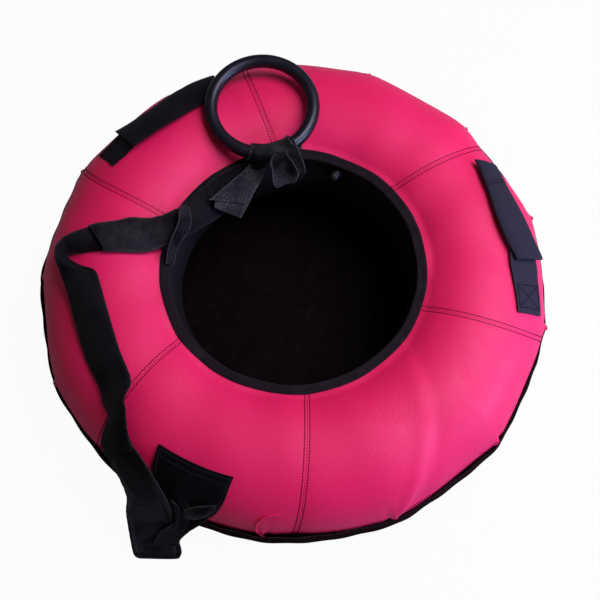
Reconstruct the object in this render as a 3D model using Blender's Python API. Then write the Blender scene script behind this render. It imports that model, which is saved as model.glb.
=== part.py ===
# Inflatable snow tube: a rubber inner tube in a sewn cover with a bound opening,
# two grab handles, and a flat tow strap from the front anchor to a rubber tow ring.
# Metres, +Z up. The origin is on the floor under the middle of the tube.
# The tow anchor is at the front left (-X, -Y) and the valve at the back of the well (+Y).

import math

import bmesh
import bpy
from mathutils import Matrix, Vector

# Clearances
FACE_GAP = 0.0003          # between two pieces that touch
TUBE_FIT = 0.0012          # between the cover's sides and the inner tube

# Cover: an elliptical section turned about the Z axis
TUBE_OUTER_RADIUS = 0.350  # inflated tube, over the cover
SECTION_HALF_WIDTH = 0.100
SECTION_HALF_HEIGHT = 0.088
PANEL_THICKNESS = 0.0012
SEAM_ABOVE_MIDDLE = 0.017  # where the top panels meet the base's rim, above the section's middle
LIP_START_SHARE = 0.62     # the cover leaves the inner tube this part of the half width in from its top
LIP_REACH = 0.008          # from there in to the binding's outer edge
LIP_DROP_ANGLE = 10.0      # degrees, the free lip's fall towards the well
LIP_BEND_ANGLE = 22.0      # degrees, the bend between the tube and the lip
PANEL_EDGE_IN = 0.011      # the panels' edge, in from the opening radius
PANEL_AROUND = 10          # faces along a panel's arc
PANEL_ACROSS = 14          # faces from the rim's seam to the lip

# Seams between the six top panels: degrees about Z at the opening, halfway and at the rim
SEAM_ANGLES = ((41.6, 35.8, 37.0), (96.0, 102.3, 101.8), (157.3, 156.6, 149.5),
               (214.3, 221.0, 223.3), (276.0, 273.5, 270.4), (340.3, 340.8, 345.3))

# Base: a flat sheet, and a rim that turns up to the seam and stands proud of the panels
SHEET_THICKNESS = 0.002
RIM_PROUD = 0.003          # the rim's widest line, outside the panels
RIM_CURVE = 0.068          # from there in to the flat sheet
RIM_BULGE_SHARE = 0.8      # the widest line's height, as a part of the seam's
RIM_STEPS = 7
RING_STEPS = 60

# Binding: one tape folded over the panels' edge
BINDING_WIDTH = 0.0135
BINDING_THICKNESS = 0.0012
BINDING_UNDER_START = 0.0035

# Inner tube
RUBBER_WALL = 0.0025
TUBE_AROUND = 48
TUBE_SECTION_STEPS = 16

# Valve, on the inner tube's wall at the back of the well
VALVE_AZIMUTH = 68.0
VALVE_SECTION = 148.0      # degrees round the tube's section, 90 is its top
STEM_RADIUS = 0.00385
STEM_BORE = 0.0025
STEM_LENGTH = 0.0200
BOSS_RADIUS = 0.0065
BOSS_HEIGHT = 0.0080
PATCH_RADIUS = 0.0100
PATCH_EDGE = 0.0010
CORE_LENGTH = 0.0080
CORE_DEPTH = 0.0025        # the core's top, below the stem's mouth
PIN_RADIUS = 0.0007
PIN_CLEARANCE = 0.0004
PIN_DEPTH = 0.0006         # the pin's tip, below the stem's mouth
PIN_TRAVEL = 0.0010
PIN_DISC_RADIUS = 0.0018
PIN_DISC_HEIGHT = 0.0012
CAP_RADIUS = 0.0056
CAP_SKIRT = 0.0085         # how far the cap comes down the stem
CAP_TOP = 0.0018
SEAL_THICKNESS = 0.0010
SEAL_HOLE = 0.0012
VALVE_STEPS = 20

# Handles: a webbing strap sewn down at both ends, with a wider grip band on it
STRAP_THICKNESS = 0.0020
STRAP_WIDTH = 0.046
GRIP_THICKNESS = 0.0030
GRIP_WIDTH = 0.048
TAB_LIFT = STRAP_THICKNESS / 2 + FACE_GAP
ARCH_LIFT = 0.0095         # the strap's middle, above the cover
HANDLE_STEPS = 16
TAB_STEPS = 4
# Each handle: (azimuth, section angle) of its front end, middle and rear end in degrees,
# then the azimuths where the strap leaves its tabs and where the grip band ends
HANDLES = {
    "right": {"path": ((347.3, 47.3), (372.0, 61.5), (392.0, 60.0)),
              "strap": (355.5, 388.5), "grip": (360.3, 391.0)},
    "left": {"path": ((149.2, 57.0), (130.0, 66.0), (111.0, 62.0)),
             "strap": (145.4, 120.0), "grip": (142.0, 118.0)},
}

# Tow anchor: a wide webbing loop sewn to the front left panel, gathered at its lower fold
ANCHOR_THICKNESS = 0.0025
ANCHOR_FOLD = 0.0100       # thickness at the lower fold, where it holds the strap
ANCHOR_WIDTH = 0.102       # at the sewn edge
# (azimuth, section angle, part of the width) from the sewn edge down to the fold
ANCHOR_STATIONS = ((246.2, 63.0, 1.0), (246.2, 54.0, 0.985), (246.4, 45.0, 0.965),
                   (246.8, 37.0, 0.87), (248.2, 30.0, 0.70), (250.2, 24.0, 0.46))
ANCHOR_ACROSS = 8

# Tow ring and the strap's hitch round it
RING_TUBE_RADIUS = 0.0094
RING_CENTRELINE = 0.0718
RING_FROM_AXIS = (-0.0094, 0.0818, 0.0185)
RING_TILT = 5.0            # degrees about X, the far side is higher
RING_AROUND = 48
RING_ACROSS = 8
HITCH_GAP = 0.0006
HITCH_THICKNESS = 0.0028
HITCH_ANGLES = (-104.0, -46.0)
HITCH_STEPS = 8
HITCH_ACROSS = 12
LIFT_AXIS_POINT = (-0.0350, 0.1480, 0.1685)
LIFT_AXIS_TURN = 9.0       # degrees about Z from +X, along the ring at the hitch

# The tube that the strap's points were laid on: its radius, half width and half height.
# The strap and the ring keep their place on the cover when those sizes change.
LAID_ON = (0.250, 0.100, 0.088)

# Tow strap: flat webbing, from the anchor's fold to the hitch.
# Each point gives the webbing's left edge and right edge, seen along its run from the anchor.
TOW_THICKNESS = 0.0025
TOW_STEPS = 2              # stretches of webbing between two route points
TOW_ROUTE = (
    ((-0.1285, -0.3202, 0.1251), (-0.1035, -0.3292, 0.1251)),
    ((-0.136, -0.325, 0.112), (-0.113, -0.334, 0.107)),
    ((-0.152, -0.332, 0.096), (-0.131, -0.341, 0.089)),
    ((-0.173, -0.338, 0.062), (-0.147, -0.348, 0.056)),
    ((-0.188, -0.350, 0.028), (-0.149, -0.353, 0.026)),
    ((-0.199, -0.358, 0.009), (-0.150, -0.358, 0.009)),
    ((-0.208, -0.364, 0.003), (-0.154, -0.364, 0.003)),
    ((-0.214, -0.360, 0.011), (-0.158, -0.360, 0.011)),
    ((-0.216, -0.346, 0.029), (-0.159, -0.346, 0.029)),
    ((-0.217, -0.326, 0.056), (-0.158, -0.328, 0.058)),
    ((-0.214, -0.315, 0.090), (-0.160, -0.324, 0.098)),
    ((-0.210, -0.302, 0.114), (-0.164, -0.309, 0.133)),
    ((-0.216, -0.285, 0.129), (-0.172, -0.290, 0.152)),
    ((-0.226, -0.268, 0.137), (-0.183, -0.271, 0.160)),
    ((-0.241, -0.243, 0.142), (-0.200, -0.243, 0.163)),
    ((-0.238, -0.225, 0.151), (-0.203, -0.227, 0.181)),
    ((-0.232, -0.210, 0.161), (-0.203, -0.211, 0.196)),
    ((-0.2385, -0.195, 0.164), (-0.205, -0.196, 0.198)),
    ((-0.243, -0.177, 0.170), (-0.201, -0.170, 0.186)),
    ((-0.2634, -0.138, 0.171), (-0.2184, -0.130, 0.181)),
    ((-0.2804, -0.092, 0.172), (-0.2354, -0.083, 0.181)),
    ((-0.295, -0.048, 0.173), (-0.250, -0.040, 0.181)),
    ((-0.305, -0.022, 0.182), (-0.260, -0.018, 0.180)),
    ((-0.308, -0.012, 0.200), (-0.281, -0.010, 0.176)),
    ((-0.308, 0.000, 0.207), (-0.297, 0.000, 0.171)),
    ((-0.302, 0.012, 0.208), (-0.296, 0.008, 0.170)),
    ((-0.289, 0.023, 0.207), (-0.278, 0.009, 0.175)),
    ((-0.267, 0.036, 0.199), (-0.252, 0.010, 0.179)),
    ((-0.244, 0.047, 0.187), (-0.234, 0.010, 0.178)),
    ((-0.217, 0.058, 0.178), (-0.212, 0.010, 0.173)),
    ((-0.196, 0.060, 0.172), (-0.193, 0.015, 0.166)),
    ((-0.178, 0.069, 0.165), (-0.172, 0.026, 0.161)),
    ((-0.161, 0.079, 0.162), (-0.149, 0.041, 0.155)),
    ((-0.146, 0.094, 0.163), (-0.130, 0.058, 0.145)),
    ((-0.128, 0.112, 0.163), (-0.103, 0.082, 0.136)),
    ((-0.112, 0.129, 0.162), (-0.079, 0.104, 0.134)),
    ((-0.095, 0.141, 0.162), (-0.063, 0.123, 0.137)),
    ((-0.078, 0.149, 0.162), (-0.049, 0.139, 0.144)),
    ((-0.063, 0.153, 0.1665), (-0.038, 0.151, 0.158)),
)
TAIL_ROUTE = (
    ((-0.060, 0.1500, 0.1667), (-0.040, 0.1475, 0.1589)),
    ((-0.070, 0.136, 0.168), (-0.044, 0.130, 0.157)),
    ((-0.087, 0.120, 0.166), (-0.054, 0.114, 0.150)),
    ((-0.103, 0.106, 0.165), (-0.063, 0.096, 0.146)),
    ((-0.116, 0.095, 0.163), (-0.073, 0.077, 0.142)),
)

# Driving values worked out from the sizes above
TUBE_RADIUS = TUBE_OUTER_RADIUS - SECTION_HALF_WIDTH
SEAM_HEIGHT = SECTION_HALF_HEIGHT + SEAM_ABOVE_MIDDLE
LIP_START_RADIUS = TUBE_RADIUS - SECTION_HALF_WIDTH * LIP_START_SHARE
OPENING_RADIUS = LIP_START_RADIUS - LIP_REACH
RIM_OUTER_RADIUS = TUBE_OUTER_RADIUS + RIM_PROUD
RIM_BULGE_HEIGHT = SEAM_HEIGHT * RIM_BULGE_SHARE
FLAT_RADIUS = RIM_OUTER_RADIUS - RIM_CURVE
TUBE_HALF_WIDTH = SECTION_HALF_WIDTH - PANEL_THICKNESS - TUBE_FIT
TUBE_HALF_HEIGHT = SECTION_HALF_HEIGHT - SHEET_THICKNESS - FACE_GAP
FULL_TURN = 2 * math.pi


# Blender helpers

def clear_scene():
    for item in list(bpy.data.objects):
        bpy.data.objects.remove(item, do_unlink=True)


def make_material(name, colour, roughness, metallic=0.0):
    material = bpy.data.materials.new(name)
    material.use_nodes = True
    shader = material.node_tree.nodes["Principled BSDF"]
    shader.inputs["Base Color"].default_value = (*colour, 1.0)
    shader.inputs["Roughness"].default_value = roughness
    shader.inputs["Metallic"].default_value = metallic
    material.diffuse_color = (*colour, 1.0)
    return material


def add_object(name, mesh_builder, material, smooth=True):
    """Turn a bmesh into a named object, shaded smooth up to a crease angle."""
    bmesh.ops.remove_doubles(mesh_builder, verts=mesh_builder.verts, dist=1e-6)
    bmesh.ops.recalc_face_normals(mesh_builder, faces=mesh_builder.faces)
    mesh = bpy.data.meshes.new(name)
    mesh_builder.to_mesh(mesh)
    mesh_builder.free()
    if smooth:
        mesh.shade_smooth()
        mesh.set_sharp_from_angle(angle=math.radians(40))
    mesh.materials.append(material)
    item = bpy.data.objects.new(name, mesh)
    bpy.context.collection.objects.link(item)
    return item


def add_wall(item, thickness, offset):
    wall = item.modifiers.new("wall", "SOLIDIFY")
    wall.thickness = thickness
    wall.offset = offset
    wall.use_even_offset = True
    return wall


def turn_profile(name, profile, steps, material, start_angle=0.0, loop=True):
    """Spin a profile of (radius, height) points about the local Z axis."""
    builder = bmesh.new()
    corners = [builder.verts.new((radius * math.cos(start_angle), radius * math.sin(start_angle), height))
               for radius, height in profile]
    edges = [builder.edges.new(pair) for pair in zip(corners, corners[1:])]
    if loop:
        edges.append(builder.edges.new((corners[-1], corners[0])))
    bmesh.ops.spin(builder, geom=corners + edges, cent=(0, 0, 0), axis=(0, 0, 1),
                   angle=FULL_TURN, steps=steps, use_merge=True)
    return add_object(name, builder, material)


def surface_grid(builder, rows):
    """Join rows of points, all of one length, by quads."""
    grid = [[builder.verts.new(point) for point in row] for row in rows]
    for low, high in zip(grid, grid[1:]):
        for column in range(len(low) - 1):
            builder.faces.new((low[column], low[column + 1], high[column + 1], high[column]))


def joined_sections(builder, sections, closed):
    """Join closed section loops by quads, and cap both ends of an open run."""
    loops = [[builder.verts.new(point) for point in section] for section in sections]
    pairs = list(zip(loops, loops[1:]))
    if closed:
        pairs.append((loops[-1], loops[0]))
    count = len(loops[0])
    for low, high in pairs:
        for corner in range(count):
            after = (corner + 1) % count
            builder.faces.new((low[corner], low[after], high[after], high[corner]))
    if not closed:
        builder.faces.new(list(reversed(loops[0])))
        builder.faces.new(loops[-1])


# The cover's section

def section_point(angle):
    """(radius, height) on the cover's outer ellipse: 0 is its outermost point, 90 its top."""
    turn = math.radians(angle)
    return (TUBE_RADIUS + SECTION_HALF_WIDTH * math.cos(turn),
            SECTION_HALF_HEIGHT * (1 + math.sin(turn)))


def section_normal(angle):
    turn = math.radians(angle)
    normal = Vector((math.cos(turn) / SECTION_HALF_WIDTH, math.sin(turn) / SECTION_HALF_HEIGHT))
    return normal.normalized()


def around(radius, height, azimuth):
    turn = math.radians(azimuth)
    return Vector((radius * math.cos(turn), radius * math.sin(turn), height))


def cover_point(azimuth, angle, lift=0.0):
    radius, height = section_point(angle)
    normal = section_normal(angle)
    return around(radius + normal.x * lift, height + normal.y * lift, azimuth)


def cover_normal(azimuth, angle):
    normal = section_normal(angle)
    return around(normal.x, normal.y, azimuth)


def normal_near(point):
    """The cover's outward direction at a point near it, on either side."""
    radius = math.hypot(point.x, point.y)
    out = (radius - TUBE_RADIUS) / SECTION_HALF_WIDTH ** 2
    up = (point.z - SECTION_HALF_HEIGHT) / SECTION_HALF_HEIGHT ** 2
    return Vector((out * point.x / radius, out * point.y / radius, up)).normalized()


def fitted(point):
    """A point laid on the tube it was written for, moved with the cover of this one."""
    laid_radius, laid_width, laid_height = LAID_ON
    point = Vector(point)
    radius = math.hypot(point.x, point.y)
    new_radius = TUBE_RADIUS + (radius - laid_radius) * SECTION_HALF_WIDTH / laid_width
    share = new_radius / radius
    return Vector((point.x * share, point.y * share, point.z * SECTION_HALF_HEIGHT / laid_height))


def lip_frame():
    """Where the binding starts on the lip, and the lip's inward and upward directions."""
    start_angle = 180 - math.degrees(math.acos((TUBE_RADIUS - LIP_START_RADIUS) / SECTION_HALF_WIDTH))
    start = Vector(section_point(start_angle))
    drop = LIP_REACH * math.tan(math.radians(LIP_BEND_ANGLE))
    origin = Vector((OPENING_RADIUS, start.y - drop))
    fall = math.radians(LIP_DROP_ANGLE)
    inward = Vector((-math.cos(fall), -math.sin(fall)))
    upward = Vector((-math.sin(fall), math.cos(fall)))
    return start_angle, origin, inward, upward


def lip_point(along, lift):
    _, origin, inward, upward = lip_frame()
    return tuple(origin + inward * along + upward * lift)


def panel_profile():
    """(radius, height) points of the top panels, from the rim's seam up and in to their edge."""
    seam_angle = math.degrees(math.asin((SEAM_HEIGHT + FACE_GAP) / SECTION_HALF_HEIGHT - 1))
    start_angle = lip_frame()[0]
    step = (start_angle - seam_angle) / PANEL_ACROSS
    points = [section_point(seam_angle + step * index) for index in range(PANEL_ACROSS + 1)]
    return points + [lip_point(0.0, 0.0), lip_point(PANEL_EDGE_IN, 0.0)]


# Cover pieces

def seam_azimuth(seam, share):
    """A seam's azimuth at a share of the way from the rim to the opening, on the parabola through its three."""
    opening, middle, rim = seam
    return rim * (1 - share) * (1 - 2 * share) + middle * 4 * share * (1 - share) + opening * share * (2 * share - 1)


def build_panels(material):
    profile = panel_profile()
    last = len(profile) - 1
    for index, (start, end) in enumerate(zip(SEAM_ANGLES, SEAM_ANGLES[1:] + SEAM_ANGLES[:1])):
        rows = []
        for row, (radius, height) in enumerate(profile):
            share = row / last
            half_gap = math.degrees(FACE_GAP / 2 / radius)
            first = seam_azimuth(start, share) + half_gap
            second = seam_azimuth(end, share) - half_gap
            second += 360 if second < first else 0
            step = (second - first) / PANEL_AROUND
            rows.append([around(radius, height, first + step * column) for column in range(PANEL_AROUND + 1)])
        builder = bmesh.new()
        surface_grid(builder, rows)
        panel = add_object("cover_panel_%d" % (index + 1), builder, material)
        add_wall(panel, PANEL_THICKNESS, facing_offset(panel))


def facing_offset(item):
    """Solidify's offset that keeps the modelled surface as the outer one."""
    face = item.data.polygons[len(item.data.polygons) // 2]
    outward = normal_near(face.center)
    return -1.0 if face.normal.dot(outward) > 0 else 1.0


def build_base(sheet_material):
    turn_profile("bottom_panel", ((0, 0), (FLAT_RADIUS, 0), (FLAT_RADIUS, SHEET_THICKNESS), (0, SHEET_THICKNESS)),
                 RING_STEPS, sheet_material, loop=False)
    inner = FLAT_RADIUS + FACE_GAP
    seam_turn = math.asin(SEAM_HEIGHT / RIM_BULGE_HEIGHT - 1)
    outer_line = []
    inner_line = []
    for index in range(RIM_STEPS + 1):
        turn = -math.pi / 2 + (math.pi / 2 + seam_turn) * index / RIM_STEPS
        for line, wall in ((outer_line, 0.0), (inner_line, SHEET_THICKNESS)):
            line.append((inner + (RIM_OUTER_RADIUS - inner - wall) * math.cos(turn),
                         RIM_BULGE_HEIGHT + (RIM_BULGE_HEIGHT - wall) * math.sin(turn)))
    turn_profile("bottom_rim", outer_line + inner_line[::-1], RING_STEPS, sheet_material)


def build_binding(material):
    above = FACE_GAP
    below = -PANEL_THICKNESS - FACE_GAP
    slot_end = PANEL_EDGE_IN + FACE_GAP
    profile = [lip_point(0, above), lip_point(0, above + BINDING_THICKNESS),
               lip_point(BINDING_WIDTH, above + BINDING_THICKNESS),
               lip_point(BINDING_WIDTH, below - BINDING_THICKNESS),
               lip_point(BINDING_UNDER_START, below - BINDING_THICKNESS),
               lip_point(BINDING_UNDER_START, below), lip_point(slot_end, below), lip_point(slot_end, above)]
    turn_profile("opening_binding", profile, RING_STEPS, material)


# Inner tube and valve

def tube_point(angle):
    turn = math.radians(angle)
    return Vector((TUBE_RADIUS + TUBE_HALF_WIDTH * math.cos(turn),
                   SECTION_HALF_HEIGHT + TUBE_HALF_HEIGHT * math.sin(turn)))


def valve_frame():
    """The valve's place: the middle of one flat face of the inner tube, with Z out of the rubber."""
    half_step = 180 / TUBE_SECTION_STEPS
    low, high = tube_point(VALVE_SECTION + half_step), tube_point(VALVE_SECTION - half_step)
    middle = (low + high) / 2
    along = (high - low).normalized()
    flat_radius = middle.x * math.cos(math.pi / TUBE_AROUND)
    out = around(-along.y, 0, VALVE_AZIMUTH) + Vector((0, 0, along.x))
    rotation = out.to_track_quat("Z", "Y").to_matrix().to_4x4()
    return Matrix.Translation(around(flat_radius, middle.y, VALVE_AZIMUTH)) @ rotation


def build_inner_tube(material):
    step = 360 / TUBE_SECTION_STEPS
    profile = [tuple(tube_point(VALVE_SECTION + step * (index + 0.5))) for index in range(TUBE_SECTION_STEPS)]
    start = math.radians(VALVE_AZIMUTH) + math.pi / TUBE_AROUND
    tube = turn_profile("inner_tube", profile, TUBE_AROUND, material, start_angle=start)
    add_wall(tube, RUBBER_WALL, -1.0)
    builder = bmesh.new()
    bmesh.ops.create_cone(builder, cap_ends=True, segments=VALVE_STEPS, depth=6 * RUBBER_WALL,
                          radius1=STEM_RADIUS + FACE_GAP, radius2=STEM_RADIUS + FACE_GAP)
    cutter = add_object("valve_hole_cutter", builder, material, smooth=False)
    cutter.matrix_world = valve_frame()
    cutter.hide_render = True
    cutter.display_type = "WIRE"
    cut = tube.modifiers.new("valve_hole", "BOOLEAN")
    cut.operation = "DIFFERENCE"
    cut.solver = "EXACT"
    cut.object = cutter


def build_valve(rubber, metal, brass, plastic):
    place = valve_frame()
    bore = STEM_RADIUS + FACE_GAP
    mouth = STEM_LENGTH
    core_top = mouth - CORE_DEPTH
    core_bottom = core_top - CORE_LENGTH
    core_outer = STEM_BORE - FACE_GAP
    core_inner = PIN_RADIUS + PIN_CLEARANCE
    disc_top = core_bottom - FACE_GAP
    seal_bottom = mouth + FACE_GAP
    seal_top = seal_bottom + SEAL_THICKNESS
    cap_ceiling = seal_top + FACE_GAP
    cap_bottom = mouth - CAP_SKIRT
    pieces = {
        "valve_patch": (rubber, True, ((bore, FACE_GAP), (PATCH_RADIUS, FACE_GAP), (PATCH_RADIUS, PATCH_EDGE),
                                       (BOSS_RADIUS + PATCH_EDGE, PATCH_EDGE * 2), (BOSS_RADIUS, BOSS_HEIGHT),
                                       (bore, BOSS_HEIGHT))),
        "valve_stem": (metal, True, ((STEM_BORE, -RUBBER_WALL), (STEM_RADIUS, -RUBBER_WALL),
                                     (STEM_RADIUS, mouth), (STEM_BORE, mouth))),
        "valve_core": (brass, True, ((core_inner, core_bottom), (core_outer, core_bottom),
                                     (core_outer, core_top), (core_inner, core_top))),
        "valve_pin": (brass, False, ((0, disc_top - PIN_DISC_HEIGHT), (PIN_DISC_RADIUS, disc_top - PIN_DISC_HEIGHT),
                                     (PIN_DISC_RADIUS, disc_top), (PIN_RADIUS, disc_top),
                                     (PIN_RADIUS, mouth - PIN_DEPTH), (0, mouth - PIN_DEPTH))),
        "valve_cap_seal": (rubber, True, ((SEAL_HOLE, seal_bottom), (STEM_RADIUS, seal_bottom),
                                          (STEM_RADIUS, seal_top), (SEAL_HOLE, seal_top))),
        "valve_cap": (plastic, False, ((0, cap_ceiling), (bore, cap_ceiling), (bore, cap_bottom),
                                       (CAP_RADIUS, cap_bottom), (CAP_RADIUS, cap_ceiling),
                                       (CAP_RADIUS - CAP_TOP / 2, cap_ceiling + CAP_TOP),
                                       (0, cap_ceiling + CAP_TOP))),
    }
    for name, (material, loop, profile) in pieces.items():
        piece = turn_profile(name, profile, VALVE_STEPS, material, loop=loop)
        piece.matrix_world = place


# Webbing

def build_ribbon(name, edges, thickness, material):
    """Flat webbing between pairs of (left edge, right edge) points."""
    centres = [(left + right) / 2 for left, right in edges]
    last = len(edges) - 1
    sections = []
    for index, (left, right) in enumerate(edges):
        run = centres[min(index + 1, last)] - centres[max(index - 1, 0)]
        lift = (right - left).cross(run).normalized() * (thickness / 2)
        sections.append([left - lift, right - lift, right + lift, left + lift])
    builder = bmesh.new()
    joined_sections(builder, sections, closed=False)
    return add_object(name, builder, material)


def smooth_value(before, start, end, after, share):
    """Catmull-Rom value between start and end."""
    return 0.5 * (2 * start + (end - before) * share
                  + (2 * before - 5 * start + 4 * end - after) * share ** 2
                  + (3 * start - before - 3 * end + after) * share ** 3)


def smooth_edges(route, steps):
    """Edge pairs on smooth curves through the route's points."""
    points = [(fitted(left), fitted(right)) for left, right in route]
    last = len(points) - 1
    edges = []
    for index in range(last):
        four = [points[max(index - 1, 0)], points[index], points[index + 1], points[min(index + 2, last)]]
        for part in range(steps):
            share = part / steps
            edges.append((smooth_value(*[pair[0] for pair in four], share),
                          smooth_value(*[pair[1] for pair in four], share)))
    edges.append(points[last])
    return edges


def handle_section(path, azimuth):
    """The handle's section angle at an azimuth, on the parabola through its three points."""
    (a0, s0), (a1, s1), (a2, s2) = path
    return (s0 * (azimuth - a1) * (azimuth - a2) / ((a0 - a1) * (a0 - a2))
            + s1 * (azimuth - a0) * (azimuth - a2) / ((a1 - a0) * (a1 - a2))
            + s2 * (azimuth - a0) * (azimuth - a1) / ((a2 - a0) * (a2 - a1)))


def handle_edges(path, start, end, steps, lift, width):
    edges = []
    small = (end - start) / steps / 10
    for index in range(steps + 1):
        azimuth = start + (end - start) * index / steps
        angle = handle_section(path, azimuth)
        ahead = cover_point(azimuth + small, handle_section(path, azimuth + small))
        behind = cover_point(azimuth - small, handle_section(path, azimuth - small))
        across = (ahead - behind).cross(cover_normal(azimuth, angle)).normalized() * (width / 2)
        middle = cover_point(azimuth, angle, lift(azimuth))
        edges.append((middle - across, middle + across))
    return edges


def build_handles(material):
    for side, handle in HANDLES.items():
        path = handle["path"]
        strap_front, strap_rear = handle["strap"]
        grip_front, grip_rear = handle["grip"]
        sense = 1 if strap_rear > strap_front else -1
        slit = sense * math.degrees(FACE_GAP / TUBE_OUTER_RADIUS) * 1.5

        def strap_lift(azimuth):
            share = (azimuth - strap_front) / (strap_rear - strap_front)
            share = min(max(share, 0.0), 1.0)
            return TAB_LIFT + (ARCH_LIFT - TAB_LIFT) * math.sin(math.pi * share)

        def grip_lift(azimuth):
            return strap_lift(azimuth) + (STRAP_THICKNESS + GRIP_THICKNESS) / 2 + FACE_GAP

        def tab_lift(azimuth):
            return TAB_LIFT

        build_ribbon("handle_%s_strap" % side,
                     handle_edges(path, strap_front, strap_rear, HANDLE_STEPS, strap_lift, STRAP_WIDTH),
                     STRAP_THICKNESS, material)
        build_ribbon("handle_%s_grip" % side,
                     handle_edges(path, grip_front, grip_rear, HANDLE_STEPS, grip_lift, GRIP_WIDTH),
                     GRIP_THICKNESS, material)
        build_ribbon("handle_%s_tab_front" % side,
                     handle_edges(path, path[0][0], strap_front - slit, TAB_STEPS, tab_lift, STRAP_WIDTH),
                     STRAP_THICKNESS, material)
        build_ribbon("handle_%s_tab_rear" % side,
                     handle_edges(path, strap_rear + slit, path[2][0], TAB_STEPS, tab_lift, STRAP_WIDTH),
                     STRAP_THICKNESS, material)


def build_anchor(material):
    """Sections across the anchor, each a strip that follows the cover, thicker towards the fold."""
    sections = []
    last = len(ANCHOR_STATIONS) - 1
    for index, (azimuth, angle, width_share) in enumerate(ANCHOR_STATIONS):
        thickness = ANCHOR_THICKNESS + (ANCHOR_FOLD - ANCHOR_THICKNESS) * (index / last) ** 2
        half = math.degrees(ANCHOR_WIDTH * width_share / 2 / section_point(angle)[0])
        azimuths = [azimuth - half + 2 * half * column / ANCHOR_ACROSS for column in range(ANCHOR_ACROSS + 1)]
        lower = [cover_point(value, angle, FACE_GAP) for value in azimuths]
        upper = [cover_point(value, angle, FACE_GAP + thickness) for value in azimuths]
        sections.append(lower + upper[::-1])
    builder = bmesh.new()
    joined_sections(builder, sections, closed=False)
    add_object("tow_anchor", builder, material)


# Tow ring, hitch and strap

def build_ring(material):
    tube = [(RING_CENTRELINE + RING_TUBE_RADIUS * math.cos(FULL_TURN * index / RING_ACROSS),
             RING_TUBE_RADIUS * math.sin(FULL_TURN * index / RING_ACROSS)) for index in range(RING_ACROSS)]
    ring = turn_profile("tow_ring", tube, RING_AROUND, material)
    ring.matrix_world = ring_frame()


def ring_frame():
    centre = fitted(LIFT_AXIS_POINT) + Vector(RING_FROM_AXIS)
    return Matrix.Translation(centre) @ Matrix.Rotation(math.radians(RING_TILT), 4, "X")


def build_hitch(material):
    """The strap's wrap round the ring: a sleeve that follows the ring's curve."""
    inner = RING_TUBE_RADIUS + HITCH_GAP
    outer = inner + HITCH_THICKNESS
    start, end = HITCH_ANGLES
    sweep = [math.radians(start + (end - start) * index / HITCH_STEPS) for index in range(HITCH_STEPS + 1)]
    sections = []
    for corner in range(HITCH_ACROSS):
        turn = FULL_TURN * (corner + 0.5) / HITCH_ACROSS
        loop = []
        for radius, angles in ((outer, sweep), (inner / math.cos(math.pi / HITCH_ACROSS), sweep[::-1])):
            for angle in angles:
                reach = RING_CENTRELINE + radius * math.cos(turn)
                loop.append((reach * math.cos(angle), reach * math.sin(angle), radius * math.sin(turn)))
        sections.append(loop)
    builder = bmesh.new()
    joined_sections(builder, sections, closed=True)
    hitch = add_object("ring_hitch", builder, material)
    axis = bpy.data.objects.new("ring_lift_axis", None)
    bpy.context.collection.objects.link(axis)
    turn = Matrix.Rotation(math.radians(LIFT_AXIS_TURN), 4, "Z")
    axis.matrix_world = Matrix.Translation(fitted(LIFT_AXIS_POINT)) @ turn
    hitch.parent = axis
    hitch.matrix_parent_inverse = axis.matrix_world.inverted()
    hitch.matrix_world = ring_frame()


def build_tow_strap(material):
    build_ribbon("tow_strap", smooth_edges(TOW_ROUTE, TOW_STEPS), TOW_THICKNESS, material)
    build_ribbon("tow_strap_tail", smooth_edges(TAIL_ROUTE, TOW_STEPS), TOW_THICKNESS, material)


def build_snow_tube():
    clear_scene()
    nylon = make_material("pink_coated_nylon", (0.62, 0.03, 0.15), 0.5)
    sheet = make_material("black_coated_sheet", (0.010, 0.009, 0.011), 0.55)
    webbing = make_material("black_webbing", (0.012, 0.011, 0.013), 0.8)
    rubber = make_material("black_rubber", (0.012, 0.011, 0.011), 0.6)
    gloss_rubber = make_material("ring_rubber", (0.014, 0.013, 0.016), 0.35)
    nickel = make_material("nickel_plate", (0.62, 0.60, 0.56), 0.3, 1.0)
    brass = make_material("brass", (0.62, 0.45, 0.18), 0.35, 1.0)
    plastic = make_material("black_cap_plastic", (0.014, 0.014, 0.014), 0.45)
    build_panels(nylon)
    build_base(sheet)
    build_binding(webbing)
    build_inner_tube(rubber)
    build_valve(rubber, nickel, brass, plastic)
    build_handles(webbing)
    build_anchor(webbing)
    build_ring(gloss_rubber)
    build_hitch(webbing)
    build_tow_strap(webbing)


build_snow_tube()
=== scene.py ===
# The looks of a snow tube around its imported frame: coated nylon cover with twin-stitched seams and gathers,
# black base, bound opening, webbing handles, tow anchor, tow strap with its ring, inner tube and valve.
# Metres, +Z up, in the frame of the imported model.

import math

import bmesh
import bpy
import numpy as np
from mathutils import Matrix, Vector


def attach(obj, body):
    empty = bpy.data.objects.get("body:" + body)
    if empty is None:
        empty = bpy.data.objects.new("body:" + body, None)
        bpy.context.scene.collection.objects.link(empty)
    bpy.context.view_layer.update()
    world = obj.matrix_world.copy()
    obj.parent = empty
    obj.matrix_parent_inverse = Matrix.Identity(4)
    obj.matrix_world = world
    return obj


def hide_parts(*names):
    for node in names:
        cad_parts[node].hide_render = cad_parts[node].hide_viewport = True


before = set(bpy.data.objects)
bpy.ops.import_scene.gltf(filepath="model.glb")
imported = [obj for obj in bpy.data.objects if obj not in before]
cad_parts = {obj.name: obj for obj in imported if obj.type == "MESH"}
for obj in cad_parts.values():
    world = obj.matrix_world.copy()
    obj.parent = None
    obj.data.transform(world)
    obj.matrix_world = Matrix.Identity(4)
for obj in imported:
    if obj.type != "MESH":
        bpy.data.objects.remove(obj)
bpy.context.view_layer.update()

# Photograph's frame and viewpoint
CAMERA_PLACE = (0.009, -0.511, 1.295)
CAMERA_ELEVATION = 68.0        # degrees above the horizon
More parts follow.
